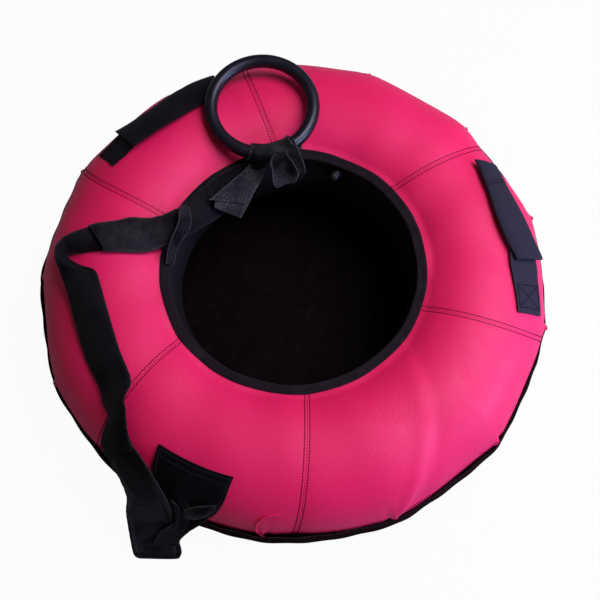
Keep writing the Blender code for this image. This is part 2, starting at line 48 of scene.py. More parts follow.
FOCAL_PIXELS = 930.0
FRAME_PIXELS = 600.0
SENSOR_WIDTH = 36.0

# Light and floor
LAMP_AIM = (0, 0, 0.1)
ROOM_LIGHT = 0.11
FLOOR_REACH = 6.0
FLOOR_WHITE_SHARE = 0.96       # of the floor as the camera sees it, the rest is lit by the lamps

# Cover's section, as in the solids
TUBE_RADIUS = 0.250
SECTION_HALF_WIDTH = 0.100
SECTION_HALF_HEIGHT = 0.088
COVER_THICKNESS = 0.0011
SEAM_HEIGHT = 0.105
LIP_START_RADIUS = 0.188
OPENING_RADIUS = 0.180
LIP_DROP_ANGLE = 10.0
LIP_BEND_ANGLE = 22.0
PANEL_EDGE_IN = 0.009
ELLIPSE_SHARE = 0.875          # part of a panel's height that follows the tube, the rest is its lip
# Each seam's degrees about Z at the lip, midway and at the base seam
SEAM_ANGLES = ((41.6, 35.8, 37.0), (96.0, 102.3, 101.8), (157.3, 156.6, 149.5),
               (214.3, 221.0, 223.3), (276.0, 273.5, 270.4), (340.3, 340.8, 345.3))
PANEL_ROWS = 96
PANEL_COLUMNS = 96
# From a seam to the first columns of points beside it
SEAM_SIDE_STEPS = (0.00015, 0.0008, 0.0015, 0.0023, 0.0032, 0.0041, 0.0053, 0.0070, 0.0092, 0.0118)

# Base
SHEET_THICKNESS = 0.002
FLAT_RADIUS = 0.285
RIM_OUTER_RADIUS = 0.353
RIM_BULGE_HEIGHT = 0.084
FACE_GAP = 0.0003
TUCK_AZIMUTH = 23.0            # middle of the side where the rim is drawn in
TUCK_REACH = 43.0              # degrees to each side of it
TUCK_EDGE = 6.0                # degrees over which the drawing in starts and ends
TUCK_GAP = 0.0008              # left between the drawn-in rim and the tube
LOW_SIDE_AZIMUTH = 275.0       # where the rim bulges most
SHEET_MIDDLE = 0.004           # radius of the hole that is closed to a point

# Gathers at the base seam: (degrees about Z, strength, which side the fold leans to)
GATHERS = ((15.5, 1.1, 1), (43.5, 1.2, -1), (71.0, 1.3, 1), (98.0, 0.8, 1), (123.5, 1.1, -1), (151.0, 1.1, 1),
           (179.5, 0.7, 1), (205.5, 0.8, -1), (235.0, 0.4, 1), (263.5, 0.5, 1), (291.5, 0.9, -1),
           (319.0, 1.1, 1), (348.0, 1.0, 1))
RIDGE_AZIMUTH = 291.5          # a long fold that rises from one gather
FULL_AZIMUTH = 95.0            # where the cover stands fuller
SMOOTH_AZIMUTH = 252.0         # where it lies smooth between gathers

# A small loop of cover cloth that stands out at the front gather, in millimetres
GATHER_LOOP = (
    (-11.8, -328.4, 144.2), (-21.6, -329.4, 142.6), (-30.2, -330.3, 140.7), (-37.6, -332.7, 136.7),
    (-43.4, -336.5, 130), (-45.8, -340.7, 121.5), (-44.6, -344.8, 111.5), (-40.6, -347.5, 102.3),
    (-35.1, -348.8, 98.1),
)
LOOP_RADIUS = 0.0013

# Binding
BINDING_WIDTH = 0.0135
BINDING_UNDER_START = 0.0035
BINDING_TAPE = 0.0011
BINDING_SHARE = 0.9375         # of a panel's height, where the tape's upper edge starts

# Inner tube, inside the cover's section
TUBE_IN_ACROSS = 0.0075
TUBE_IN_UP = 0.0055

# Stitching
TWIN_NEEDLE = 0.0064           # between the two rows of a seam
STITCH_PITCH = 0.0038
STITCH_LENGTH = 0.0030
STITCH_WIDTH = 0.0015
SEAM_ROWS = (0.012, 0.925)     # where they start and end, as shares of a panel's height
BINDING_ROW = 0.962            # and where the rows round the tube lie
BASE_ROW = 0.018
SEAM_ROW_LIFT = 0.0002
BINDING_ROW_LIFT = 0.0022
BASE_ROW_LIFT = 0.0003
TAB_ROW_LIFT = 0.0030
TAB_ROW_INSET = 0.004
TAB_BOX_START = 0.16           # of a tab's length
TAB_BOX_LENGTH = 0.68
ANCHOR_SEWN_SHARE = 0.92       # of its half width
ANCHOR_ROWS = (3, 7)           # stations of the rows across
ANCHOR_ROW_LIFT = 0.0038
ANCHOR_SIDE_LIFT = 0.0036

# Webbing
TOW_THICKNESS = 0.0017
ACROSS_STEPS = 16
ROUTE_STEPS = 8                # between two rows of a route

# Valve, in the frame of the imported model
VALVE_BASE = (0.06311, 0.15619, 0.13254)
VALVE_AXIS = (-0.30521, -0.75543, 0.57981)
STEM_LENGTH = 0.0200
STEM_RADIUS = 0.00385
STEM_ROOT = -0.0025
THREAD_PITCH = 0.0008
THREAD_DEPTH = 0.0003
CAP_RADIUS = 0.0056
CAP_SKIRT = 0.0085
CAP_RIBS = 24
RIB_WIDTH = 0.0006
TURNED_STEPS = 40
AXIS_GAP = 0.00002             # keeps a closed end's quads from shrinking to nothing

# Ring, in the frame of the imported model
RING_CENTRE = (-0.0444, 0.2298, 0.1870)
RING_TILT = 5.0
RING_CENTRELINE = 0.0718
RING_TUBE_RADIUS = 0.0094
WRAP_STEPS_ROUND = 48
WRAP_STEPS_ACROSS = 22

# Cloths of the webbing: dark colour, lighter colour of the painted glints, rib pitch, and the share painted
# with glints, least and most.
# The copy on the turned, rolled and upper strap layers and the hitch cloth are the tow cloth painted lighter
# where folds face the lamp;
# the anchor's is painted darker, in shade; the right grip's is the left grip's painted lighter where it faces
# the lamp.
CLOTHS = {
    "tow": ((0.0010, 0.0007, 0.0006), (0.056, 0.047, 0.043), 0.0023, (0.0, 0.45)),
    "painted_lit_copy": ((0.0011, 0.0008, 0.0007), (0.150, 0.130, 0.120), 0.0023, (0.0, 0.52)),
    "anchor": ((0.0008, 0.0004, 0.0005), (0.020, 0.014, 0.016), 0.0023, (0.0, 0.2)),
    "hitch": ((0.0008, 0.0006, 0.0005), (0.175, 0.156, 0.145), 0.0023, (0.0, 0.95)),
    "right_grip": ((0.0210, 0.0176, 0.0250), (0.054, 0.047, 0.060), 0.0018, (0.3, 0.5)),
    "left_grip": ((0.0036, 0.0026, 0.0028), (0.026, 0.020, 0.022), 0.0020, (0.1, 0.6)),
}

# Routes of the webbing in millimetres: each row is a point on the left edge and one on the right edge.
# The tow strap's own is as in the solids, from the anchor to the ring.
TOW_ROUTE = (
    (-128.5, -320.2, 125.1, -103.5, -329.2, 125.1), (-136, -325, 112, -113, -334, 107),
    (-152, -332, 96, -131, -341, 89), (-173, -338, 62, -147, -348, 56), (-188, -350, 28, -149, -353, 26),
    (-199, -358, 9, -150, -358, 9), (-208, -364, 3, -154, -364, 3), (-214, -360, 11, -158, -360, 11),
    (-216, -346, 29, -159, -346, 29), (-217, -326, 56, -158, -328, 58), (-214, -315, 90, -160, -324, 98),
    (-210, -302, 114, -164, -309, 133), (-216, -285, 129, -172, -290, 152),
    (-226, -268, 137, -183, -271, 160), (-241, -243, 142, -200, -243, 163),
    (-238, -225, 151, -203, -227, 181), (-232, -210, 161, -203, -211, 196),
    (-238.5, -195, 164, -205, -196, 198), (-243, -177, 170, -201, -170, 186),
    (-263.4, -138, 171, -218.4, -130, 181), (-280.4, -92, 172, -235.4, -83, 181),
    (-295, -48, 173, -250, -40, 181), (-305, -22, 182, -260, -18, 180), (-308, -12, 200, -281, -10, 176),
    (-308, 0, 207, -297, 0, 171), (-302, 12, 208, -296, 8, 170), (-289, 23, 207, -278, 9, 175),
    (-267, 36, 199, -252, 10, 179), (-244, 47, 187, -234, 10, 178), (-217, 58, 178, -212, 10, 173),
    (-196, 60, 172, -193, 15, 166), (-178, 69, 165, -172, 26, 161), (-161, 79, 162, -149, 41, 155),
    (-146, 94, 163, -130, 58, 145), (-128, 112, 163, -103, 82, 136), (-112, 129, 162, -79, 104, 134),
    (-95, 141, 162, -63, 123, 137), (-78, 149, 162, -49, 139, 144), (-63, 153, 166.5, -38, 151, 158),
)
TUCKED_END = (-58, 163, 170, -33, 163, 164)
TOW_ARCHES = {0: 0.004, 1: 0.006, 2: 0.006, 3: 0.005, 4: 0.002, 6: 0.0005, 8: 0.002, 11: 0.003, 14: 0.004,
              16: 0.003, 18: 0.004, 20: 0.0035, 22: 0.004, 24: 0.003, 26: 0.004, 28: 0.003, 31: 0.002,
              34: 0.003, 37: 0.005, 39: 0.006}     # rise of the strap's middle, by row of its route
TAIL_ROUTE = (
    (-60, 150, 166.7, -40, 147.5, 158.9), (-70, 136, 168, -44, 130, 157), (-87, 120, 166, -54, 114, 150),
    (-103, 106, 165, -63, 96, 146), (-109, 85, 159, -73, 77, 142),
)
TAIL_ARCHES = {0: 0.004, 4: 0.001}

# Folds and slack layers that lie on the strap: name, cloth, arch, route. Lighter cloth copies paint light on
# the folds that face the lamp.
STRAP_FOLDS = (
    ("strap_turned_layer", "painted_lit_copy", 0.003, (
        (-224, -252, 143, -198, -254, 163), (-226, -248, 149, -195, -251, 169),
        (-224, -266, 144, -178, -273, 166), (-215, -280, 138, -169, -287, 160),
        (-208, -305, 120, -157, -306, 146), (-211, -324, 72, -152, -320, 112),
        (-212, -345, 37, -157, -341, 45), (-210, -359, 18, -155, -359, 19))),
    ("strap_rolled_edge", "painted_lit_copy", 0.006, (
        (-162, -308, 122, -150, -311, 136), (-162, -315, 112, -142, -317, 130),
        (-162, -323, 98, -142, -325, 116), (-163, -330, 78, -147, -333, 98),
        (-164, -338, 62, -156, -339, 72))),
    ("strap_slack_beside_anchor", "tow", 0.002, (
        (-152, -309, 134, -130, -315, 141), (-148, -318, 122, -127, -322, 129),
        (-146, -328, 106, -130, -331, 110), (-150, -339, 88, -141, -342, 90))),
    ("strap_fold_over_binding", "hitch", 0.001, (
        (-152, 79, 176, -145, 83, 172), (-154, 67, 180, -139, 71, 172), (-154, 53, 181, -138, 51, 170),
        (-159, 39, 178, -146, 36, 167), (-166, 20, 174, -155, 21, 164), (-171, 0, 160, -160, 0, 156))),
    ("strap_upper_layer", "painted_lit_copy", 0.005, (
        (-269, 36, 203, -249, 8, 184), (-255, 43, 197, -243, 7, 183), (-234, 51, 188, -228, 8, 180),
        (-217, 58, 183, -211, 9, 176), (-195, 60, 177, -192, 13, 170), (-176, 68, 171, -172, 24, 165),
        (-160, 80, 166, -151, 41, 155))),
    ("strap_end_fold", "hitch", 0.003, (
        (-67, 137, 171, -44, 132, 164), (-87, 118, 171, -51, 116, 158), (-102, 104, 170, -59, 104, 154),
        (-115, 92, 168, -67, 95, 151))),
    ("anchor_turned_edge", "hitch", 0.003, (
        (-134, -321, 133, -132, -329, 115), (-121, -319, 143, -122, -331, 120),
        (-106, -319, 150, -109, -330, 132), (-92, -319, 154, -97, -324, 145))),
)

# The hitch's fold over the opening and the band beside it
HITCH_FOLD = (
    (-22.6, 158.4, 188, -11.6, 159.4, 189), (-29.3, 146.2, 190, -7.4, 147.8, 192.5),
    (-31.9, 137.4, 189, -0.5, 136.6, 193), (-29.2, 127.8, 184, 4.9, 128, 189),
    (-28.6, 116.3, 178.5, 7.6, 124.5, 182), (-25.3, 109.8, 172, 4.2, 118.1, 174),
    (-19.5, 112.4, 166, -1, 117.3, 167), (-18.4, 124.1, 160, -2.1, 130.5, 160),
)
HITCH_BAND = (
    (-13, 172.8, 190.5, -0.6, 175.4, 191.5), (-14.3, 162.6, 191.5, 3.5, 165.8, 191.5),
    (-11.5, 152.5, 190, 9, 153.1, 189), (-4.7, 142.9, 185, 14.5, 140.3, 184),
    (3.5, 134.4, 178, 16.6, 131.8, 177), (6.2, 129.5, 170, 13.1, 127.9, 170),
    (3.5, 130.3, 163, 9, 127.2, 163),
)


# Objects and nodes

def new_object(name, data):
    made = bpy.data.objects.new(name, data)
    bpy.context.scene.collection.objects.link(made)
    return made


def feed(tree, kind, inputs, output=0, **settings):
    """Adds a node, sets its inputs or links them to other nodes' sockets, and gives its output socket."""
    node = tree.nodes.new(kind)
    for key, value in settings.items():
        setattr(node, key, value)
    for key, value in inputs.items():
        if isinstance(value, bpy.types.NodeSocket):
            tree.links.new(value, node.inputs[key])
        else:
            node.inputs[key].default_value = value
    return node.outputs[output]


# Camera, lights and floor

def make_camera():
    camera = new_object("camera", bpy.data.cameras.new("camera"))
    camera.data.sensor_width = SENSOR_WIDTH
    camera.data.lens = FOCAL_PIXELS / FRAME_PIXELS * SENSOR_WIDTH
    camera.location = CAMERA_PLACE
    camera.rotation_euler = (math.radians(90 - CAMERA_ELEVATION), 0, 0)
    bpy.context.scene.camera = camera


def make_light(name, place, size, power, colour):
    light = new_object(name, bpy.data.lights.new(name, "AREA"))
    light.data.shape = "DISK"
    light.data.size = size
    light.data.energy = power
    light.data.color = colour
    light.location = place
    light.rotation_euler = (Vector(LAMP_AIM) - Vector(place)).to_track_quat("-Z", "Y").to_euler()


def seen_directly(tree):
    """1 for rays from the camera, also through glass."""
    path = tree.nodes.new("ShaderNodeLightPath").outputs
    return feed(tree, "ShaderNodeMath", {0: path["Is Camera Ray"], 1: path["Is Transmission Ray"]},
                operation="MAXIMUM")


def make_lights():
    make_light("window", (1.10, 0.22, 1.85), 1.50, 42, (1.0, 0.97, 1.34))
    make_light("low_window", (1.45, -0.55, 0.66), 0.60, 14, (0.62, 0.86, 1.75))
    world = bpy.data.worlds.new("room")
    bpy.context.scene.world = world
    world.use_nodes = True
    tree = world.node_tree
    background = tree.nodes["Background"]
    background.inputs["Color"].default_value = (1.0, 0.95, 0.88, 1)
    strength = feed(tree, "ShaderNodeMix", {"Factor": seen_directly(tree), "A": ROOM_LIGHT, "B": 1.0},
                    "Result", data_type="FLOAT")
    tree.links.new(strength, background.inputs["Strength"])


def make_floor():
    """A white floor that keeps the object's shadow: part plain white, part lit by the lamps."""
    mesh = bpy.data.meshes.new("floor")
    corners = ((-1, -1, 0), (1, -1, 0), (1, 1, 0), (-1, 1, 0))
    mesh.from_pydata([Vector(corner) * FLOOR_REACH for corner in corners], [], [(0, 1, 2, 3)])
    material = bpy.data.materials.new("pale_floor")
    material.use_nodes = True
    tree = material.node_tree
    tree.nodes.remove(tree.nodes["Principled BSDF"])
    lit = feed(tree, "ShaderNodeBsdfDiffuse", {"Color": (0.50, 0.50, 0.50, 1)})
    white = feed(tree, "ShaderNodeEmission", {"Color": (1, 1, 1, 1)})
    share = feed(tree, "ShaderNodeMath", {0: seen_directly(tree), 1: FLOOR_WHITE_SHARE}, operation="MULTIPLY")
    blend = feed(tree, "ShaderNodeMixShader", {"Fac": share, 1: lit, 2: white})
    tree.links.new(blend, tree.nodes["Material Output"].inputs["Surface"])
    mesh.materials.append(material)
    floor = new_object("floor", mesh)


# Materials

# A Mix node's colour sockets
MIX_FIRST = 6
MIX_SECOND = 7
MIX_RESULT = 2


class Finish:
    """A material with a Principled shader and short ways to add its nodes."""

    def __init__(self, name, colour, roughness, metallic=0.0, sheen=0.0, specular=0.5):
        self.material = bpy.data.materials.new(name)
        self.material.use_nodes = True
        self.material.diffuse_color = (*colour, 1)
        self.tree = self.material.node_tree
        self.shader = self.tree.nodes["Principled BSDF"]
        values = {"Base Color": (*colour, 1), "Roughness": roughness, "Metallic": metallic,
                  "Sheen Weight": sheen, "Sheen Roughness": 0.45, "Specular IOR Level": specular}
        for key, value in values.items():
            self.shader.inputs[key].default_value = value
        coordinates = self.tree.nodes.new("ShaderNodeTexCoord").outputs
        self.place = coordinates["Object"]
        self.cloth = coordinates["UV"]

    def noise(self, scale, detail=3.0, roughness=0.55):
        values = {"Scale": scale, "Detail": detail, "Roughness": roughness, "Vector": self.place}
        return feed(self.tree, "ShaderNodeTexNoise", values, "Fac")

    def ribs(self, pitch, turn=0.0, distortion=0.0, detail_scale=1.0):
        """Straight ribs a pitch apart in the cloth's own metres, turned by some degrees."""
        turned = feed(self.tree, "ShaderNodeMapping", {"Rotation": (0, 0, math.radians(turn)),
                                                       "Vector": self.cloth})
        values = {"Scale": math.pi / 10 / pitch, "Distortion": distortion, "Detail Scale": detail_scale,
                  "Vector": turned}
        return feed(self.tree, "ShaderNodeTexWave", values, "Fac", wave_type="BANDS", bands_direction="X")

    def combine(self, operation, first, second):
        return feed(self.tree, "ShaderNodeMath", {0: first, 1: second}, operation=operation)

    def spread(self, value, low, high, out_low=0.0, out_high=1.0):
        values = {"Value": value, "From Min": low, "From Max": high, "To Min": out_low, "To Max": out_high}
        return feed(self.tree, "ShaderNodeMapRange", values, "Result")

    def tint(self, factor, first, second):
        """A blend of two colours, each a plain one or a socket."""
        first, second = [(*value, 1) if isinstance(value, tuple) else value for value in (first, second)]
        values = {"Factor": factor, MIX_FIRST: first, MIX_SECOND: second}
        return feed(self.tree, "ShaderNodeMix", values, MIX_RESULT, data_type="RGBA")

    def colour(self, value):
        self.tree.links.new(value, self.shader.inputs["Base Color"])

    def rough(self, value):
        self.tree.links.new(value, self.shader.inputs["Roughness"])

    def bump(self, height, distance, strength=1.0, under=None):
        """Relief of a height in metres, on top of another bump where one is given."""
        values = {"Strength": strength, "Distance": distance, "Height": height}
        if under is not None:
            values["Normal"] = under
        normal = feed(self.tree, "ShaderNodeBump", values)
        self.tree.links.new(normal, self.shader.inputs["Normal"])
        return normal


def coated_nylon():
    """Pink oxford cloth with a thin satin coating: fine basket weave, faint blotches and grain."""
    pink = (0.78, 0.010, 0.084)
    finish = Finish("pink_coated_nylon", pink, 0.5, specular=0.28)
    weave = finish.combine("MULTIPLY", finish.ribs(0.0022, 38), finish.ribs(0.0022, 128))
    blotch = finish.spread(finish.noise(9, 4), 0.3, 0.7)
    grain = finish.spread(finish.noise(900, 2), 0.25, 0.75)
    cloudy = finish.tint(blotch, pink, (0.73, 0.007, 0.071))
    grained = finish.tint(finish.combine("MULTIPLY", grain, 0.4), cloudy, (0.83, 0.020, 0.108))
    finish.colour(finish.tint(finish.combine("MULTIPLY", weave, 0.26), grained, (0.58, 0.006, 0.064)))
    finish.rough(finish.spread(finish.noise(40, 3), 0.3, 0.7, 0.46, 0.60))
    base = finish.bump(finish.noise(260, 4), 0.0004, 0.5)
    finish.bump(weave, 0.0003, 0.6, base)
    return finish.material


def coated_sheet(name, dark, scuffed, specular):
    """Black coated base sheet: leathery grain and scuffs."""
    finish = Finish(name, dark, 0.6, specular=specular)
    finish.colour(finish.tint(finish.spread(finish.noise(60, 6, 0.7), 0.52, 0.75), dark, scuffed))
    finish.rough(finish.spread(finish.noise(25, 3), 0.3, 0.7, 0.42, 0.62))
    base = finish.bump(finish.noise(420, 3), 0.0004, 0.5)
    finish.bump(finish.combine("MAXIMUM", finish.ribs(0.0016), finish.ribs(0.0016, 90)), 0.0002, 0.5, base)
    return finish.material


def webbing(name, dark, light, rib_pitch, glint_share):
    """Woven strap: diagonal twill ribs, a painted highlight along the selvedge and ends broken up by fuzz,
    and painted glints on the twill in patches, partly dusty wear.
    """
    finish = Finish(name, dark, 0.50, sheen=0.02, specular=0.06)
    twill = finish.ribs(rib_pitch, 32, 0.6, 30)
    yarn = finish.ribs(rib_pitch * 0.45, 90, 0.4, 30)
    cloth = finish.combine("MULTIPLY", twill, finish.spread(yarn, 0, 1, 0.6, 1.0))
    fuzz = finish.spread(finish.noise(700, 4, 0.7), 0.35, 0.7)
    stored = feed(finish.tree, "ShaderNodeAttribute", {}, "Fac", attribute_name="selvedge")
    # Painted highlight along the edges, where the rounded selvedge would catch the lamp, broken up by fuzz
    edge = finish.spread(stored, 0.80, 1.0, 0.0, 0.60)
    # Painted glints: the twill is painted lighter in noise patches where the yarn would catch the lamp,
    # partly dusty wear
    dust_and_glint = finish.combine("MULTIPLY", finish.spread(finish.noise(38, 4), 0.45, 0.75), 0.30)
    glint_patches = finish.spread(finish.noise(17, 2), 0.38, 0.62, *glint_share)
    glints_and_dust = finish.combine("MULTIPLY", finish.combine("ADD", dust_and_glint, glint_patches),
                            finish.combine("MULTIPLY", cloth, fuzz))
    lightness = finish.combine("MAXIMUM", finish.combine("MULTIPLY", edge, fuzz), glints_and_dust)
    finish.colour(finish.tint(lightness, dark, light))
    base = finish.bump(fuzz, 0.0003, 0.6)
    finish.bump(cloth, 0.0005, 0.8, base)
    return finish.material


def binding_cloth():
    """Folded tape on the opening's edge: close crosswise ribs."""
    dark = (0.0085, 0.0036, 0.0044)
    finish = Finish("binding_tape", dark, 0.7, sheen=0.03, specular=0.13)
    dust = finish.spread(finish.noise(45, 5, 0.65), 0.5, 0.8)
    finish.colour(finish.tint(dust, dark, (0.022, 0.012, 0.014)))
    finish.bump(finish.ribs(0.0010, 90, 0.3, 20), 0.0003, 0.7)
    return finish.material


def ring_rubber():
    """Moulded ring: semi-gloss with a faint orange peel and finger marks."""
    finish = Finish("ring_rubber", (0.0045, 0.0038, 0.0062), 0.3, specular=0.34)
    finish.rough(finish.spread(finish.noise(30, 4), 0.3, 0.7, 0.30, 0.44))
    finish.bump(finish.noise(350, 3), 0.0003, 0.35)
    return finish.material


def tube_rubber():
    """Inner tube: matte black rubber with a chalky bloom."""
    finish = Finish("black_rubber", (0.004, 0.0028, 0.0025), 0.6, specular=0.25)
    bloom = finish.spread(finish.noise(14, 5, 0.6), 0.5, 0.85, 0.0, 0.5)
    finish.colour(finish.tint(bloom, (0.0035, 0.0024, 0.0022), (0.010, 0.007, 0.006)))
    finish.bump(finish.noise(300, 3), 0.0004, 0.4)
    return finish.material


def thread(name, colour):
    finish = Finish(name, colour, 0.85, specular=0.08)
    finish.bump(finish.noise(2600, 2), 0.0002, 0.6)
    return finish.material


def metal(name, colour, roughness):
    finish = Finish(name, colour, roughness, metallic=1.0)
    finish.rough(finish.spread(finish.noise(900, 3), 0.3, 0.7, roughness * 0.7, roughness * 1.4))
    finish.bump(finish.noise(1800, 2), 0.00005, 0.3)
    return finish.material


def cap_plastic():
    finish = Finish("black_cap_plastic", (0.014, 0.014, 0.014), 0.42)
    finish.bump(finish.noise(1500, 2), 0.0001, 0.3)
    return finish.material


# Curves and shapes

def unit(vectors):
    return vectors / np.maximum(np.linalg.norm(vectors, axis=-1, keepdims=True), 1e-12)


def bell(distance, width):
    """1 in the middle, falling off smoothly at a width to each side."""
    return np.exp(-(distance / width) ** 2)


def fade(distance, reach):
    """1 at no distance, dying away over a reach."""
    return np.exp(-distance / reach)


def portion(value):
    """The value, held between 0 and 1."""
    return np.clip(value, 0, 1)


def full_turn(count):
    return np.linspace(0, 2 * math.pi, count, endpoint=False)


def polar(radius, turn, height):
    """Points at a radius and a height, turned about Z."""
    return over_grid(radius * np.cos(turn), radius * np.sin(turn), height)


def over_grid(*values):
    """Points or UV places from their coordinates, each over the whole grid."""
    return np.stack(np.broadcast_arrays(*values), axis=-1)


def surface_normals(points):
    """Normals of a grid of points, whose second direction crossed with its first points outwards."""
    return unit(np.cross(np.gradient(points, axis=1), np.gradient(points, axis=0)))


def smooth_run(values, steps):
    """Values on smooth curves through the given ones, with a number of steps between two of them."""
    values = np.asarray(values, float)
    padded = np.concatenate([values[:1], values, values[-1:]])
    result = []
    for index in range(len(values) - 1):
        before, start, end, after = padded[index:index + 4]
        for part in range(steps):
            share = part / steps
            result.append(0.5 * (2 * start + (end - before) * share
                                 + (2 * before - 5 * start + 4 * end - after) * share ** 2
                                 + (3 * start - before - 3 * end + after) * share ** 3))
    result.append(values[-1])
    return np.array(result)


def run_lengths(points):
    """Distance along a line of points, from its first one."""
    return np.concatenate([[0.0], np.cumsum(np.linalg.norm(np.diff(points, axis=0), axis=1))])


# Meshes from rows of points

def smooth_outwards(mesh):
    """Turns a mesh's faces outwards and shades them smooth."""
    builder = bmesh.new()
    builder.from_mesh(mesh)
    bmesh.ops.recalc_face_normals(builder, faces=builder.faces)
    builder.to_mesh(mesh)
    builder.free()
    mesh.shade_smooth()


def add_piece(name, points, faces, corner_uv, material, stored):
    """A smooth-shaded piece from points and faces, faces outwards, with a UV map in metres."""
    mesh = bpy.data.meshes.new(name)
    mesh.from_pydata([tuple(point) for point in points], [], [tuple(face) for face in faces])
    layer = mesh.uv_layers.new(name="cloth")
    layer.data.foreach_set("uv", np.asarray(corner_uv, np.float32).ravel())
    for key, values in (stored or {}).items():
        attribute = mesh.attributes.new(key, "FLOAT", "POINT")
        attribute.data.foreach_set("value", np.asarray(values, np.float32).ravel())
    smooth_outwards(mesh)
    mesh.set_sharp_from_angle(angle=math.radians(60))
    mesh.materials.append(material)
    return new_object(name, mesh)


def loft(name, sections, uv, material, ring=False, wrap_uv=(0.0, 0.0), stored=None):
    """Closed section loops joined by quads. A ring's last loop joins its first, other runs are capped."""
    sections = np.asarray(sections, float)
    rows, columns = sections.shape[:2]
    uv = np.asarray(uv, float)
    faces, corners = [], []
    for row in range(rows if ring else rows - 1):
        after = (row + 1) % rows
        row_jump = wrap_uv[0] if after < row else 0.0
        for column in range(columns):
            beside = (column + 1) % columns
            jump = wrap_uv[1] if beside < column else 0.0
            faces.append((row * columns + column, row * columns + beside,
                          after * columns + beside, after * columns + column))
            corners += [uv[row, column], uv[row, beside] + (0, jump),
                        uv[after, beside] + (row_jump, jump), uv[after, column] + (row_jump, 0)]
    if not ring:
        for row in (0, rows - 1):
            for column in range(columns // 2 - 1):
                strip = [column, column + 1, columns - 2 - column, columns - 1 - column]
                if column + 1 == columns - 2 - column:
                    strip = [column, column + 1, columns - 1 - column]
                faces.append([row * columns + item for item in strip])
                corners += [uv[row, item] for item in strip]
    return add_piece(name, sections.reshape(-1, 3), faces, corners, material, stored)


def there_and_back(front, back):
    """Section loops: each row of one side, then back along the other."""
    return np.concatenate([front, back[:, ::-1]], axis=1)


def both_sides(values):
    return there_and_back(values, values)


def shell_sections(outer, normals, thickness):
    return there_and_back(outer, outer - normals * thickness)


# The cover's surface

def azimuth_difference(first, second):
    return (np.asarray(first) - second + 180) % 360 - 180


def profile_table(count=600):
    """Shares from the base seam to the lip's edge, with the section's radius and height at each."""
    share = np.linspace(0, 1, count)
    low = math.degrees(math.asin((SEAM_HEIGHT + FACE_GAP) / SECTION_HALF_HEIGHT - 1))
    high = 180 - math.degrees(math.acos((TUBE_RADIUS - LIP_START_RADIUS) / SECTION_HALF_WIDTH))
    angle = np.radians(low + (high - low) * np.minimum(share / ELLIPSE_SHARE, 1))
    radius = TUBE_RADIUS + SECTION_HALF_WIDTH * np.cos(angle)
    height = SECTION_HALF_HEIGHT * (1 + np.sin(angle))
    start = np.array([radius[-1], height[-1]])
    drop = (LIP_START_RADIUS - OPENING_RADIUS) * math.tan(math.radians(LIP_BEND_ANGLE))
    corner = np.array([OPENING_RADIUS, start[1] - drop])
    fall = math.radians(LIP_DROP_ANGLE)
    edge = corner + PANEL_EDGE_IN * np.array([-math.cos(fall), -math.sin(fall)])
    along = portion((share - ELLIPSE_SHARE) / (1 - ELLIPSE_SHARE))[:, None]
    lip = start * (1 - along) ** 2 + 2 * corner * along * (1 - along) + edge * along ** 2
    on_lip = share > ELLIPSE_SHARE
    radius[on_lip], height[on_lip] = lip[on_lip].T
    return share, radius, height


PROFILE_SHARE, PROFILE_RADIUS, PROFILE_HEIGHT = profile_table()
PROFILE_ARC = run_lengths(np.stack([PROFILE_RADIUS, PROFILE_HEIGHT], axis=1))
PROFILE_SLOPE = np.unwrap(np.arctan2(np.gradient(PROFILE_HEIGHT), np.gradient(PROFILE_RADIUS)))


def profile(share, values):
    return np.interp(share, PROFILE_SHARE, values)


def seam_azimuth(seam, share):
    opening, middle, rim = seam
    return (rim * (1 - share) * (1 - 2 * share) + middle * 4 * share * (1 - share)
            + opening * share * (2 * share - 1))


def gather_shift(azimuth, above, detail=1.0):
    """How far the cover stands out or in at the gathers, by the distance above the base seam."""
    shift = np.zeros(np.broadcast(azimuth, above).shape)
    nearest = np.full(shift.shape, 180.0)
    for centre, strength, lean in GATHERS:
        away = azimuth_difference(azimuth, centre)
        nearest = np.minimum(nearest, np.abs(away))
        across = np.radians(away) * RIM_OUTER_RADIUS
        swell = 0.0026 * fade(above, 0.070) * bell(across, 0.022 + 0.25 * above)
        nub = 0.0030 * bell(above, 0.0065) * bell(across - 0.001 * lean, 0.0034)
        fold = 0.0015 * fade(above, 0.020) * bell(across - 0.12 * lean * above, 0.0036)
        crease = 0.0024 * fade(above, 0.016) * bell(across - 0.0078 * lean, 0.0045)
        shift = shift + strength * (swell + detail * (nub + fold - crease))
    fuller = 0.0045 * bell(azimuth_difference(azimuth, FULL_AZIMUTH), 32) * fade(above, 0.10)
    facet = 0.5 * (1 - np.cos(np.radians(nearest) * len(GATHERS)))
    facet = facet * (1 - 0.8 * np.exp(-(azimuth_difference(azimuth, SMOOTH_AZIMUTH) / 34) ** 4))
    beside = np.radians(azimuth_difference(azimuth, RIDGE_AZIMUTH)) * RIM_OUTER_RADIUS - 0.85 * above
    ridge = 0.0050 * bell(beside, 0.010 + 0.10 * above) - 0.0034 * bell(beside - 0.028, 0.018)
    ridge = ridge * portion(above / 0.012) * fade(above, 0.085) * detail
    return shift + fuller + ridge - 0.0034 * facet * fade(above, 0.065)


def ripple(azimuth, share):
    """Long shallow unevenness of the blown-up cover."""
    turn = np.radians(azimuth)
    return (0.0009 * np.sin(5 * turn + 1.3 + 2.2 * share) + 0.0007 * np.sin(9 * turn + 0.4 - 3.1 * share)
            + 0.0005 * np.sin(17 * turn + 5.0 * share))


def lip_wave(azimuth):
    """The free lip's rise and fall round the opening."""
    turn = np.radians(azimuth)
    return 0.0009 * np.sin(4 * turn + 0.7) + 0.0006 * np.sin(7 * turn + 2.1) + 0.0003 * np.sin(15 * turn)


